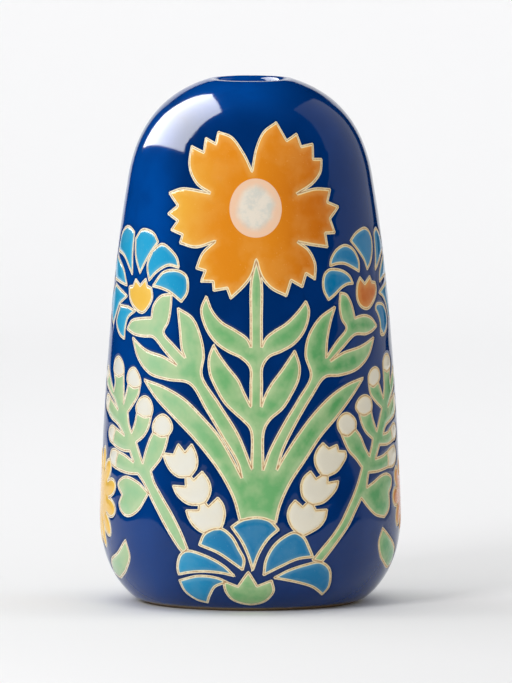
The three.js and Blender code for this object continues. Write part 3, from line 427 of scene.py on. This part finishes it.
def even(line, spacing):
    """The same closed line with evenly spaced points."""
    closed = np.vstack([line, line[:1]])
    run = np.concatenate([[0], np.cumsum(np.linalg.norm(np.diff(closed, axis=0), axis=1))])
    count = max(12, round(run[-1] / spacing))
    at = np.linspace(0, run[-1], count, endpoint=False)
    return np.stack([np.interp(at, run, closed[:, 0]), np.interp(at, run, closed[:, 1])], axis=1)


# ---- the picture: every pool of glaze, with its outline, its finish and the CAD node it stands for ----

def panel():
    """The front picture, as (name, finish, line)."""
    pools = [
        ("big_flower", "flower_orange", trace(BIG_FLOWER)),
        ("big_flower_disc", "disc_cream", ellipse(*DISC)),
        ("plant", "leaf_green", trace(PLANT)),
        ("calyx", "leaf_green", trace(CALYX)),
        ("heart_leaf_left", "leaf_green", trace(LEFT_HEART_LEAF)),
        ("side_leaf_left", "leaf_green", trace(LEFT_LEAF)),
        ("side_leaf_right", "leaf_green", trace(RIGHT_LEAF)),
        ("side_daisy_left", "flower_orange", daisy_outline(LEFT_DAISY)),
        ("side_daisy_right", "flower_orange", daisy_outline(RIGHT_DAISY)),
        ("side_heart_left", "flower_orange", trace(LEFT_FLOWER_HEART)),
        ("side_heart_right", "flower_orange", trace(RIGHT_FLOWER_HEART)),
        ("sprig_left", "leaf_green", trace(LEFT_SPRIG)),
        ("sprig_right", "leaf_green", trace(RIGHT_SPRIG)),
    ]
    rows = [
        ("side_petal_left", "petal_turquoise", LEFT_PETALS),
        ("side_petal_right", "petal_turquoise", RIGHT_PETALS),
        ("tulip_left", "bud_white", LEFT_TULIPS),
        ("tulip_right", "bud_white", RIGHT_TULIPS),
        ("bud_left", "bud_white", LEFT_BUDS),
        ("bud_right", "bud_white", RIGHT_BUDS),
        ("foot_petal", "petal_turquoise", FOOT_PETALS),
    ]
    for name, finish, outlines in rows:
        pools += [(f"{name}_{i + 1}", finish, trace(outline)) for i, outline in enumerate(outlines)]
    return [(name, finish, to_profile(line)) for name, finish, line in pools]


def to_profile(line):
    """From millimetres up to millimetres along the profile."""
    return np.stack([line[:, 0], along_at(line[:, 1])], axis=1)


# ---- the map: one triangulation of the whole unrolled surface, cut along every clay line ----

LINE_HALF = 0.66
LINE_SPACING = 0.55
NEAREST_SPACING = 0.2
BANK_ROW = 0.36
EDGE_ROWS = [0.24, 0.62, 1.2, 2.1, 3.2]
EDGE_STEPS = [1, 1, 2, 3, 4]
OPEN_SPACING = 2.6
OPEN_MARGIN = 0.9
FOOT_ROWS = (0, 0.25, 0.7, 1.5)
RIM_POINTS = 240
SEAM_POINTS = 120


def normals_of(line):
    """The sideways direction at each point of a closed line."""
    ahead, behind = np.roll(line, -1, axis=0), np.roll(line, 1, axis=0)
    heading = ahead - behind
    heading /= np.linalg.norm(heading, axis=1)[:, None] + 1e-12
    return np.stack([heading[:, 1], -heading[:, 0]], axis=1)


def offset_line(line, distance):
    return line + normals_of(line) * distance


class Nearest:
    """The distance to the nearest of many lines."""

    def __init__(self, lines):
        samples = np.vstack([even(line, NEAREST_SPACING) for line in lines])
        self.tree = KDTree(len(samples))
        for i, (x, y) in enumerate(samples.tolist()):
            self.tree.insert((x, y, 0), i)
        self.tree.balance()

    def __call__(self, points):
        return np.array([self.tree.find((x, y, 0))[2] for x, y in points.tolist()])


def placed_pools():
    """The picture on the front and again on the back, as (piece name, CAD node or None, finish, line)."""
    placed = []
    for name, finish, line in panel():
        placed.append((name, name, finish, line))
        if "daisy" in name:
            continue
        for shift in (HALF_TURN, -HALF_TURN):
            moved = line + np.array([shift, 0])
            if moved[:, 0].max() > -HALF_TURN and moved[:, 0].min() < HALF_TURN:
                placed.append((f"back_{name}", None, finish, moved))
    return placed


def kept_rows(line, nearest):
    """Free points in rows beside a clay line, closer together near it, without those that crowd others."""
    rows = [(side * BANK_ROW, 0.06, 1) for side in (1, -1)]
    for beyond, step in zip(EDGE_ROWS, EDGE_STEPS):
        rows += [(side * (LINE_HALF + beyond), 0.05, step) for side in (1, -1)]
    points = []
    for distance, slack, step in rows:
        row = offset_line(line, distance)[::step]
        points.append(row[nearest(row) > abs(distance) - slack])
    return np.vstack(points)


def open_points(nearest):
    """An even spread of points over the stretches far from any line."""
    rise = OPEN_SPACING * math.sqrt(3) / 2
    rows = []
    for i, along in enumerate(np.arange(rise, PROFILE_LENGTH - 0.5 * rise, rise)):
        start = -HALF_TURN + OPEN_SPACING * (0.5 + 0.5 * (i % 2))
        across = np.arange(start, HALF_TURN - 0.3 * OPEN_SPACING, OPEN_SPACING)
        rows.append(np.stack([across, np.full_like(across, along)], axis=1))
    points = np.vstack(rows)
    return points[nearest(points) > LINE_HALF + EDGE_ROWS[-1] + OPEN_MARGIN]


def border_points():
    """The rims of the unrolled surface: the foot edge, the mouth edge, and the two sides of the seam."""
    rims = []
    for along in (*FOOT_ROWS, PROFILE_LENGTH):
        across = np.linspace(-HALF_TURN, HALF_TURN, RIM_POINTS)
        rims.append(np.stack([across, np.full_like(across, along)], axis=1))
    heights = np.linspace(0, PROFILE_LENGTH, SEAM_POINTS)[1:-1]
    for across in (-HALF_TURN, HALF_TURN):
        rims.append(np.stack([np.full_like(heights, across), heights], axis=1))
    return np.vstack(rims)


def is_disc(pool):
    """The discs have no clay line round them: they lie in the orange glaze."""
    return pool[2] == "disc_cream"


def map_lines(placed):
    """The lines that the map is cut along, and the edges that join their points."""
    points, edges, start = [], [], 0
    for pool in placed:
        line = even(pool[3], LINE_SPACING)
        loops = [line]
        if not is_disc(pool):
            loops += [offset_line(line, LINE_HALF), offset_line(line, -LINE_HALF)]
        for loop in loops:
            edges += loop_edges(start, len(loop))
            points.append(loop)
            start += len(loop)
    corners = [(-HALF_TURN, 0), (HALF_TURN, 0), (HALF_TURN, PROFILE_LENGTH), (-HALF_TURN, PROFILE_LENGTH)]
    edges += loop_edges(start, len(corners))
    points.append(np.array(corners))
    return points, edges


def regions_of(middles, placed, nearest):
    """For each triangle, the number of its pool, or GROUND or LINE. Later, smaller pools win."""
    region = np.full(len(middles), GROUND)
    in_disc = np.zeros(len(middles), bool)
    for i in sorted(range(len(placed)), key=lambda i: is_disc(placed[i]) or "bud" in placed[i][0]):
        held = inside(middles, placed[i][3])
        region[held] = i
        if is_disc(placed[i]):
            in_disc |= held
    region[(nearest(middles) < LINE_HALF - 0.03) & ~in_disc] = LINE
    return region


def build_map(placed):
    """Points, triangles, each point's distance to a clay line, and each triangle's region."""
    walls = [pool[3] for pool in placed if not is_disc(pool)]
    nearest = Nearest(walls)
    points, edges = map_lines(placed)
    points += [kept_rows(even(line, LINE_SPACING), nearest) for line in walls]
    points += [open_points(nearest), border_points()]
    every = np.vstack(points)
    every[:, 1] = np.clip(every[:, 1], 0, PROFILE_LENGTH)
    verts, faces = triangulate(every, edges)
    faces = faces[np.abs(verts[faces].mean(axis=1)[:, 0]) < HALF_TURN]
    region = regions_of(verts[faces].mean(axis=1), placed, nearest)
    return verts, faces, nearest(verts), region


# ---- heights: how far each surface stands off the pot's profile, in millimetres ----

EDGE_LEVEL = -0.42
GROUND_LEVEL = -0.12
POOL_LEVEL = -0.02
FAR_FROM_EDGE = 9.0
MENISCUS = 0.75
SKIRT_LEVEL = -1.15
CLAY_DEPTH = 1.1


def wander(points, size, seed):
    """Smooth, hand-made unevenness between about -1 and 1, the same on both sides of the seam."""
    maker = np.random.default_rng(seed)
    total = np.zeros(len(points))
    for _ in range(7):
        turns = maker.integers(-1, 2) + round(2 * HALF_TURN / size * maker.uniform(-1, 1))
        rise = 2 * math.pi / size * maker.uniform(-1, 1)
        phase = maker.uniform(0, 2 * math.pi)
        total += np.sin(points[:, 0] / DRAWING_RADIUS * turns + points[:, 1] * rise + phase)
    return total / 3


def glaze_height(points, from_edge, level):
    """A pool stands at its level and rounds off down to the edge level at the clay line."""
    meniscus = np.exp(-from_edge / MENISCUS)
    uneven = 0.03 * wander(points, 38, 3) + 0.012 * wander(points, 11, 4)
    return level + (EDGE_LEVEL - level) * meniscus + uneven * (1 - meniscus)


def line_height(points, from_line):
    """The bare line: a drawn groove in its middle, with a low bank on each side."""
    groove = 0.10 * np.exp(-(from_line / 0.22) ** 2)
    bank = 0.05 * np.exp(-((from_line - 0.45) / 0.16) ** 2)
    return EDGE_LEVEL - groove + bank + 0.025 * wander(points, 5, 5)


# ---- meshes ----

WELD = 0.002 * MM


def weld(verts):
    """Which points are kept, and for every point the number of the kept point at its place."""
    keys = np.round(verts / WELD).astype(np.int64)
    _, first, same = np.unique(keys, axis=0, return_index=True, return_inverse=True)
    return first, same.reshape(-1)


def add_mesh(name, verts, faces, finish, values):
    """A smooth mesh object with its named numbers on its points, welded across the seam."""
    first, same = weld(verts)
    faces = same[faces]
    whole = (faces[:, 0] != faces[:, 1]) & (faces[:, 1] != faces[:, 2]) & (faces[:, 2] != faces[:, 0])
    mesh = bpy.data.meshes.new(name)
    mesh.from_pydata(verts[first].tolist(), [], faces[whole].tolist())
    for label, numbers in values.items():
        attribute = mesh.attributes.new(label, "FLOAT", "POINT")
        attribute.data.foreach_set("value", numbers[first].astype(np.float32))
    mesh.shade_smooth()
    mesh.materials.append(MATERIALS[finish])
    piece = bpy.data.objects.new(name, mesh)
    bpy.context.scene.collection.objects.link(piece)
    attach(piece, "root")
    return piece


def region_mesh(name, surface, mask, finish, height_of):
    """One pool, the ground coat or the clay lines, cut out of the map, with a skirt down to the clay."""
    points, faces, distance = surface
    used, inverse = np.unique(faces[mask], return_inverse=True)
    faces = inverse.reshape(-1, 3)
    points, distance = points[used], distance[used]
    verts = on_pot(points, height_of(points, distance))
    skirt = skirt_edges(verts, faces)
    count = len(verts)
    rim, place = np.unique(skirt, return_inverse=True)
    place = place.reshape(-1, 2)
    top = verts[rim]
    bottom = on_pot(points[rim], np.full(len(rim), SKIRT_LEVEL))
    high, low = place + count, place + count + len(rim)
    walls = np.vstack([
        np.stack([high[:, 1], high[:, 0], low[:, 0]], axis=1),
        np.stack([high[:, 1], low[:, 0], low[:, 1]], axis=1),
    ])
    # The skirt's own copy of the rim sits a hair lower, so that it keeps its own shading.
    top = top + (bottom - top) * 0.02
    from_line = np.concatenate([distance, distance[rim], distance[rim]])
    return add_mesh(name, np.vstack([verts, top, bottom]), np.vstack([faces, walls]), finish,
                    {"from_line": from_line})


def skirt_edges(verts, faces):
    """The edges on the rim, without those on the seam, where the two sides meet."""
    _, same = weld(verts)
    sides = np.vstack([faces[:, [0, 1]], faces[:, [1, 2]], faces[:, [2, 0]]])
    welded = same[sides]
    width = int(same.max()) + 1
    forward = welded[:, 0] * width + welded[:, 1]
    backward = welded[:, 1] * width + welded[:, 0]
    return sides[~np.isin(forward, backward) & (welded[:, 0] != welded[:, 1])]


def lathe(profile, steps=160):
    """A surface of revolution from radius and height in millimetres."""
    profile = np.asarray(profile, float)
    angles = np.linspace(0, 2 * math.pi, steps, endpoint=False)
    radius, height = profile[:, 0][:, None], profile[:, 1][:, None]
    x = radius * np.sin(angles)
    y = -radius * np.cos(angles)
    z = np.broadcast_to(height, x.shape)
    verts = np.stack([x, y, z], axis=2).reshape(-1, 3) * MM
    i, j = np.meshgrid(np.arange(len(profile) - 1), np.arange(steps), indexing="ij")
    a, b = i * steps + j, i * steps + (j + 1) % steps
    c, d = b + steps, a + steps
    halves = [np.stack(corners, axis=2).reshape(-1, 3) for corners in ([a, b, c], [a, c, d])]
    return verts, np.vstack(halves)


# ---- materials ----

GLAZE_IOR = 1.38


def linear(red, green, blue):
    """Screen colour, 0 to 255, as the linear colour that shaders take."""
    def one(value):
        value /= 255
        return value / 12.92 if value <= 0.04045 else ((value + 0.055) / 1.055) ** 2.4
    return (one(red), one(green), one(blue), 1.0)


class Shader:
    """A node material with its Principled shader and small helpers."""

    def __init__(self, name, roughness):
        self.material = bpy.data.materials.new(name)
        self.material.use_nodes = True
        self.tree = self.material.node_tree
        self.principled = self.tree.nodes["Principled BSDF"]
        self.principled.inputs["Roughness"].default_value = roughness
        self.principled.inputs["IOR"].default_value = GLAZE_IOR
        self.place = self.node("ShaderNodeTexCoord").outputs["Object"]

    def node(self, kind, **settings):
        node = self.tree.nodes.new(kind)
        for key, value in settings.items():
            setattr(node, key, value)
        return node

    def link(self, value, socket):
        if isinstance(value, bpy.types.NodeSocket):
            self.tree.links.new(value, socket)
        else:
            socket.default_value = value

    def noise(self, size, detail=3.0, rough=0.5):
        """Noise with features of about this many millimetres."""
        node = self.node("ShaderNodeTexNoise")
        self.link(self.place, node.inputs["Vector"])
        node.inputs["Scale"].default_value = 1 / (size * MM)
        node.inputs["Detail"].default_value = detail
        node.inputs["Roughness"].default_value = rough
        return node.outputs["Fac"]

    def ramp(self, value, low, high, to_low=0.0, to_high=1.0):
        node = self.node("ShaderNodeMapRange", interpolation_type="SMOOTHSTEP")
        self.link(value, node.inputs["Value"])
        limits = {"From Min": low, "From Max": high, "To Min": to_low, "To Max": to_high}
        for socket, number in limits.items():
            self.link(number, node.inputs[socket])
        return node.outputs["Result"]

    def math(self, operation, first, second):
        node = self.node("ShaderNodeMath", operation=operation)
        self.link(first, node.inputs[0])
        self.link(second, node.inputs[1])
        return node.outputs[0]

    def mix(self, amount, first, second):
        node = self.node("ShaderNodeMix", data_type="RGBA")
        self.link(amount, node.inputs[0])
        self.link(first, node.inputs[6])
        self.link(second, node.inputs[7])
        return node.outputs[2]

    def from_line(self):
        """How far this place is from the nearest clay line's middle, in millimetres."""
        return self.node("ShaderNodeAttribute", attribute_name="from_line").outputs["Fac"]

    def place_along(self, axis):
        """One coordinate of the place, in metres."""
        parts = self.node("ShaderNodeSeparateXYZ")
        self.link(self.place, parts.inputs[0])
        return parts.outputs[axis]

    def sway(self, size, detail, amount):
        """Noise between minus and plus half the amount, to unsettle a straight fade."""
        return self.math("MULTIPLY", self.math("SUBTRACT", self.noise(size, detail), 0.5), amount)

    def bump(self, height, depth):
        node = self.node("ShaderNodeBump")
        node.inputs["Distance"].default_value = depth * MM
        node.inputs["Strength"].default_value = 1.0
        self.link(height, node.inputs["Height"])
        self.link(node.outputs["Normal"], self.principled.inputs["Normal"])

    def paint(self, colour):
        self.link(colour, self.principled.inputs["Base Color"])
        return self.material


def across(s, left, middle, right):
    """Painted light: the colour is lighter on the pot's left side, where the light falls, and darker on its
    right side, in shade.
    """
    place = s.math("ADD", s.place_along("X"), s.sway(30, 2, 0.02))
    left_half = s.mix(s.ramp(place, -0.054, -0.008), left, middle)
    return s.mix(s.ramp(place, 0.0, 0.046), left_half, right)


def glaze(name, rim, left, middle, right, fade, pale, cloudy):
    """A pool of glaze: paler where it is thin by the line, deeper further in, with soft cloudy patches."""
    s = Shader(name, 0.10)
    depth = s.math("SUBTRACT", s.from_line(), LINE_HALF)
    depth = s.math("ADD", depth, s.sway(4.5, 4, fade * 1.1))
    # Painted light: the deep colour is lighter on the pot's lit left side and darker on its shaded right
    # side.
    deep = across(s, linear(*left), linear(*middle), linear(*right))
    thin = s.mix(pale, deep, linear(*rim))
    body = s.mix(s.ramp(depth, 0.0, fade), thin, deep)
    clouds = s.ramp(s.noise(13, 3), 0.42, 0.66, 0.0, cloudy)
    body = s.mix(clouds, body, linear(*rim))
    specks = s.ramp(s.noise(0.9, 2), 0.66, 0.76, 0.0, 0.12)
    body = s.mix(specks, body, linear(*rim))
    colour = s.mix(s.ramp(s.from_line(), LINE_HALF - 0.02, LINE_HALF + 0.34), linear(*rim), body)
    s.bump(s.noise(1.6, 2), 0.008)
    return s.paint(colour)


def ground():
    """The cobalt coat: deep at the front, painted lighter up the left shoulder and left of the mouth, where
    the light falls.
    """
    s = Shader("ground_blue", 0.08)
    sway = s.sway(34, 2, 0.018)
    x = s.math("ADD", s.place_along("X"), sway)
    # Painted light: lighter up the left shoulder, more so higher up.
    height = s.ramp(s.place_along("Z"), 0.07, 0.19, 0.42, 1.0)
    shoulder = s.math("MULTIPLY", s.ramp(x, -0.029, -0.047, 0.0, 1.0), height)
    # Painted light round the top by the mouth, fading out towards the right side.
    lit_mouth_top = s.ramp(s.math("ADD", s.place_along("Z"), sway), 0.229, 0.246, 0.0, 0.9)
    lit_mouth_top = s.math("MULTIPLY", lit_mouth_top, s.ramp(x, -0.008, 0.03, 1.0, 0.08))
    painted_light = s.math("MAXIMUM", shoulder, lit_mouth_top)
    body = s.mix(painted_light, linear(0, 43, 101), linear(0, 70, 152))
    clouds = s.ramp(s.noise(16, 3), 0.42, 0.70, 0.0, 0.35)
    body = s.mix(clouds, body, linear(2, 52, 118))
    depth = s.math("SUBTRACT", s.from_line(), LINE_HALF)
    colour = s.mix(s.ramp(depth, 0.35, 1.6, 0.35, 0.0), body, linear(0, 24, 66))
    colour = s.mix(s.ramp(depth, -0.02, 0.22, 0.75, 0.0), colour, linear(92, 118, 140))
    s.bump(s.noise(1.6, 2), 0.006)
    return s.paint(colour)


def clay_lines():
    """Bare clay: cream banks with painted light, lighter on the left and darker on the right; painted shade
    in the drawn groove, brown and broken; and a browner foot, reddish clay darkened by painted contact
    shade.
    """
    s = Shader("bare_clay", 0.5)
    from_line = s.from_line()
    broken = s.ramp(s.noise(2.4, 5, 0.65), 0.34, 0.58, 0.25, 0.95)
    # Painted shade: the middle of the drawn groove is painted brown, broken up by noise.
    groove = s.math("MULTIPLY", s.ramp(from_line, 0.06, 0.40, 1.0, 0.0), broken)
    # Painted light: the banks are lighter on the lit left side and darker on the shaded right side.
    bank = across(s, linear(250, 243, 218), linear(245, 230, 190), linear(226, 204, 158))
    cream = s.mix(s.ramp(s.noise(1.3, 3), 0.45, 0.75, 0.0, 0.6), bank, linear(222, 196, 150))
    colour = s.mix(groove, cream, linear(172, 124, 76))
    # The foot: reddish bare clay, with painted contact shade darkening it towards the floor.
    foot = s.ramp(s.place_along("Z"), 0.0006, 0.0035, 0.85, 0.0)
    colour = s.mix(foot, colour, linear(112, 78, 52))
    s.bump(s.noise(0.7, 3), 0.05)
    return s.paint(colour)


def disc_glaze():
    """The flower's middle: off-white, crumpled a little, with a peach ring where it runs thin."""
    s = Shader("disc_cream", 0.16)
    depth = s.math("ADD", s.from_line(), s.sway(7, 4, 5.0))
    ring = s.ramp(depth, 2.4, 7.2)
    middle = s.mix(s.ramp(s.noise(6, 4, 0.6), 0.40, 0.62), linear(228, 218, 202), linear(208, 206, 195))
    colour = s.mix(ring, linear(236, 196, 164), middle)
    s.bump(s.noise(5, 4), 0.12)
    return s.paint(colour)


# Colours at the rim, on the left, in the middle and on the right, then fade, pale and cloudy.
# The left, middle and right colours hold painted light: lighter on the lit left side, darker on the shaded
# right side.
GLAZES = {
    "liner_blue": ((60, 120, 170), (28, 92, 160), (28, 92, 160), (28, 92, 160), 2.0, 0.15, 0.13),
    "flower_orange": ((250, 222, 140), (240, 190, 78), (220, 134, 28), (194, 100, 20), 4.0, 0.15, 0.07),
    "leaf_green": ((206, 214, 168), (160, 202, 156), (112, 174, 112), (86, 156, 94), 4.0, 0.32, 0.30),
    "petal_turquoise": ((170, 205, 200), (44, 166, 212), (0, 114, 164), (0, 112, 160), 2.2, 0.15, 0.06),
    "bud_white": ((240, 224, 188), (230, 229, 219), (226, 222, 208), (222, 215, 196), 3.0, 0.15, 0.13),
}
MATERIALS = {
    "bare_clay": clay_lines(),
    "ground_blue": ground(),
    **{name: glaze(name, *settings) for name, settings in GLAZES.items()},
    "disc_cream": disc_glaze(),
}


# ---- the vase ----

def glaze_piece(name, surface, mask, finish, level):
    """One coat of glaze, which thins and rounds off towards its clay lines."""
    def height(points, from_line):
        return glaze_height(points, np.maximum(from_line - LINE_HALF, 0), level)
    return region_mesh(name, surface, mask, finish, height)


def disc_piece(name, surface, mask, finish, outlines):
    """The flower's middle is level with the orange round it, and its colour follows its own outline."""
    verts, faces, _ = surface
    from_rim = LINE_HALF + Nearest(outlines)(verts)

    def height(points, from_line):
        return glaze_height(points, np.full(len(points), FAR_FROM_EDGE), POOL_LEVEL)
    return region_mesh(name, (verts, faces, from_rim), mask, finish, height)


def make_picture():
    """The blue coat, the clay lines, and one piece for each pool of the picture."""
    placed = placed_pools()
    verts, faces, distance, region = build_map(placed)
    surface = (verts, faces, distance)
    glaze_ground(surface, region == GROUND)
    region_mesh("clay_lines", surface, region == LINE, "bare_clay", line_height)
    names = {}
    for i, (name, node, finish, _) in enumerate(placed):
        names.setdefault(name, (node, finish, []))[2].append(i)
    for name, (node, finish, numbers) in names.items():
        mask = np.isin(region, numbers)
        if finish == "disc_cream":
            outlines = [placed[i][3] for i in numbers]
            piece = disc_piece(name + "_glaze", surface, mask, finish, outlines)
        else:
            piece = glaze_piece(name + "_glaze", surface, mask, finish, POOL_LEVEL)
        if node:
            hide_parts(node)


def glaze_ground(surface, mask):
    """The blue coat, which thins and rounds off at its lower edge above the foot."""
    verts, faces, distance = surface
    by_foot = np.minimum(distance, LINE_HALF + verts[:, 1])
    piece = glaze_piece("ground_coat", (verts, faces, by_foot), mask, "ground_blue", GROUND_LEVEL)
    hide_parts("ground_glaze")


def under_surface(rows, depth):
    """Radius and height at this depth under the glazed surface, for places along the profile."""
    radius = np.interp(rows, ALONG, PLACE[:, 0]) - np.interp(rows, ALONG, DIRECTION[:, 1]) * depth
    height = np.interp(rows, ALONG, PLACE[:, 1]) + np.interp(rows, ALONG, DIRECTION[:, 0]) * depth
    return radius, height


def inner_profile(depth):
    """The inside of the wall from the shoulder down to the floor, at a depth under the glazed surface."""
    rows = np.linspace(along_at(HEIGHT - 3), along_at(16), 40)
    radius, height = under_surface(rows, depth)
    keep = (radius > MOUTH_RADIUS + 4) & (height > FLOOR + 6)
    return np.stack([radius[keep], height[keep]], axis=1).tolist()


def make_clay():
    """The turned body under the glaze: foot ring, recess, outside, and the inside of the wall."""
    radius, height = under_surface(np.linspace(0, PROFILE_LENGTH, 90), CLAY_DEPTH)
    outside = np.stack([radius, height], axis=1).tolist()
    recess = [(0.01, 2.0), (39.0, 2.0), (40.6, 1.6), (41.6, 0.5)]
    foot_ring = [(42.2, 0.0), (49.6, 0.0), (50.4, 0.3), (51.4, 1.1)]
    inside_rows = [(MOUTH_RADIUS + 1.2, HEIGHT - 6), *inner_profile(WALL), (47, FLOOR), (0.01, FLOOR)]
    verts, faces = lathe([*recess, *foot_ring, *outside, *inside_rows])
    piece = add_mesh("clay_pot", verts, faces, "bare_clay", {"from_line": np.full(len(verts), 1.0)})
    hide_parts("clay_body")


def make_liner():
    """The coat inside, from the mouth edge of the outer coat down to the floor."""
    throat = [(MOUTH_RADIUS, HEIGHT - 4.1), (14.5, HEIGHT - 5.6), (15.4, HEIGHT - 7.0), (17.2, HEIGHT - 8.0)]
    bottom = [(55, 12.5), (50, 10.2), (44, 9.3), (30, 9.1), (0.01, 9.1)]
    verts, faces = lathe([*throat, *inner_profile(LINER_DEPTH), *bottom])
    piece = add_mesh("liner_coat", verts, faces, "liner_blue", {"from_line": np.full(len(verts), 6.0)})
    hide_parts("liner_glaze")


# ---- the stage, in metres and watts ----

CAMERA_DISTANCE = 14.0
CAMERA_ELEVATION = math.radians(5.0)
CAMERA_AIM = Vector((0.0027, 0.0, 0.1240))
SENSOR_HEIGHT = 24
HEIGHT_IN_VIEW = 0.3252381

SWEEP_FRONT = -1.0
SWEEP_BEHIND = 1.4
SWEEP_BEND = 0.7
WALL_TOP = 0.9
SWEEP_HALF_WIDTH = 0.78

ROOM_STRENGTH = 0.60
LIGHTS = [
    {"name": "key", "place": (-0.8, -1.22, 0.8), "aim": (0, 0, 0.13), "size": (0.45, 0.45), "power": 10.3,
     "seen": False},
    {"name": "wall", "place": (0.0, 0.3, 2.6), "aim": (0, 2.2, 0.6), "size": (3.0, 0.8), "power": 32,
     "seen": False},
    {"name": "softbox", "place": (-0.53, 0.362, 0.956), "aim": (0.453, 0.298, 0.786), "size": (0.90, 1.03),
     "power": 44, "shines": False, "roll": 0.206},
    {"name": "card", "place": (0.9, 0.74, 0.8), "aim": (0, 0.74, 0.8), "size": (1.4, 2.0), "power": 4.5,
     "shines": False, "roll": -0.35},
]


def make_camera():
    """A very long lens, five degrees above the level."""
    data = bpy.data.cameras.new("camera")
    data.sensor_fit = "VERTICAL"
    data.sensor_height = SENSOR_HEIGHT
    data.lens = SENSOR_HEIGHT * CAMERA_DISTANCE / HEIGHT_IN_VIEW
    data.clip_end = 50
    camera = bpy.data.objects.new("camera", data)
    away = Vector((0, -math.cos(CAMERA_ELEVATION), math.sin(CAMERA_ELEVATION)))
    camera.location = CAMERA_AIM + CAMERA_DISTANCE * away
    camera.rotation_euler = (math.radians(90) - CAMERA_ELEVATION, 0, 0)
    bpy.context.scene.collection.objects.link(camera)
    bpy.context.scene.camera = camera


def make_backdrop():
    """A pale floor that sweeps up into a wall behind, with painted shade making the floor darker towards the
    front.
    """
    rows = [(SWEEP_FRONT, 0.0)]
    for angle in np.linspace(0, math.pi / 2, 24):
        rows.append((SWEEP_BEHIND + SWEEP_BEND * math.sin(angle), SWEEP_BEND * (1 - math.cos(angle))))
    rows.append((SWEEP_BEHIND + SWEEP_BEND, WALL_TOP))
    verts = [(x, y, z) for y, z in rows for x in (-SWEEP_HALF_WIDTH, SWEEP_HALF_WIDTH)]
    faces = [(2 * i, 2 * i + 1, 2 * i + 3, 2 * i + 2) for i in range(len(rows) - 1)]
    mesh = bpy.data.meshes.new("sweep")
    mesh.from_pydata(verts, [], faces)
    mesh.shade_smooth()
    paper = Shader("paper", 0.9)
    # Painted shade: the paper is darker towards the front and lighter towards the wall.
    tone = paper.ramp(paper.place_along("Y"), -0.3, 1.0)
    mesh.materials.append(paper.paint(paper.mix(tone, linear(234, 234, 235), linear(246, 246, 247))))
    sweep = bpy.data.objects.new("sweep", mesh)
    bpy.context.scene.collection.objects.link(sweep)


def area_light(name, place, aim, size, power, seen=True, shines=True, roll=0.0):
    """A soft rectangular light, which may be kept out of the mirror images or give nothing but one."""
    data = bpy.data.lights.new(name, "AREA")
    data.shape = "RECTANGLE"
    data.size, data.size_y = size
    data.energy = power
    light = bpy.data.objects.new(name, data)
    light.location = place
    facing = (Vector(aim) - Vector(place)).to_track_quat("-Z", "Y")
    light.rotation_euler = (facing @ Quaternion((0, 0, 1), roll)).to_euler()
    light.visible_glossy = seen
    light.visible_diffuse = shines
    light.visible_camera = False
    bpy.context.scene.collection.objects.link(light)


def make_lights():
    """An even room, a soft key from the front left, a lit backdrop, and a softbox and a card to mirror."""
    world = bpy.data.worlds.new("room")
    world.use_nodes = True
    background = world.node_tree.nodes["Background"]
    background.inputs["Color"].default_value = (1, 1, 1, 1)
    background.inputs["Strength"].default_value = ROOM_STRENGTH
    world.cycles_visibility.glossy = False
    bpy.context.scene.world = world
    for light in LIGHTS:
        area_light(**light)


make_camera()
make_backdrop()
make_lights()
make_clay()
make_liner()
make_picture()

bpy.context.scene.view_settings.view_transform = "Standard"
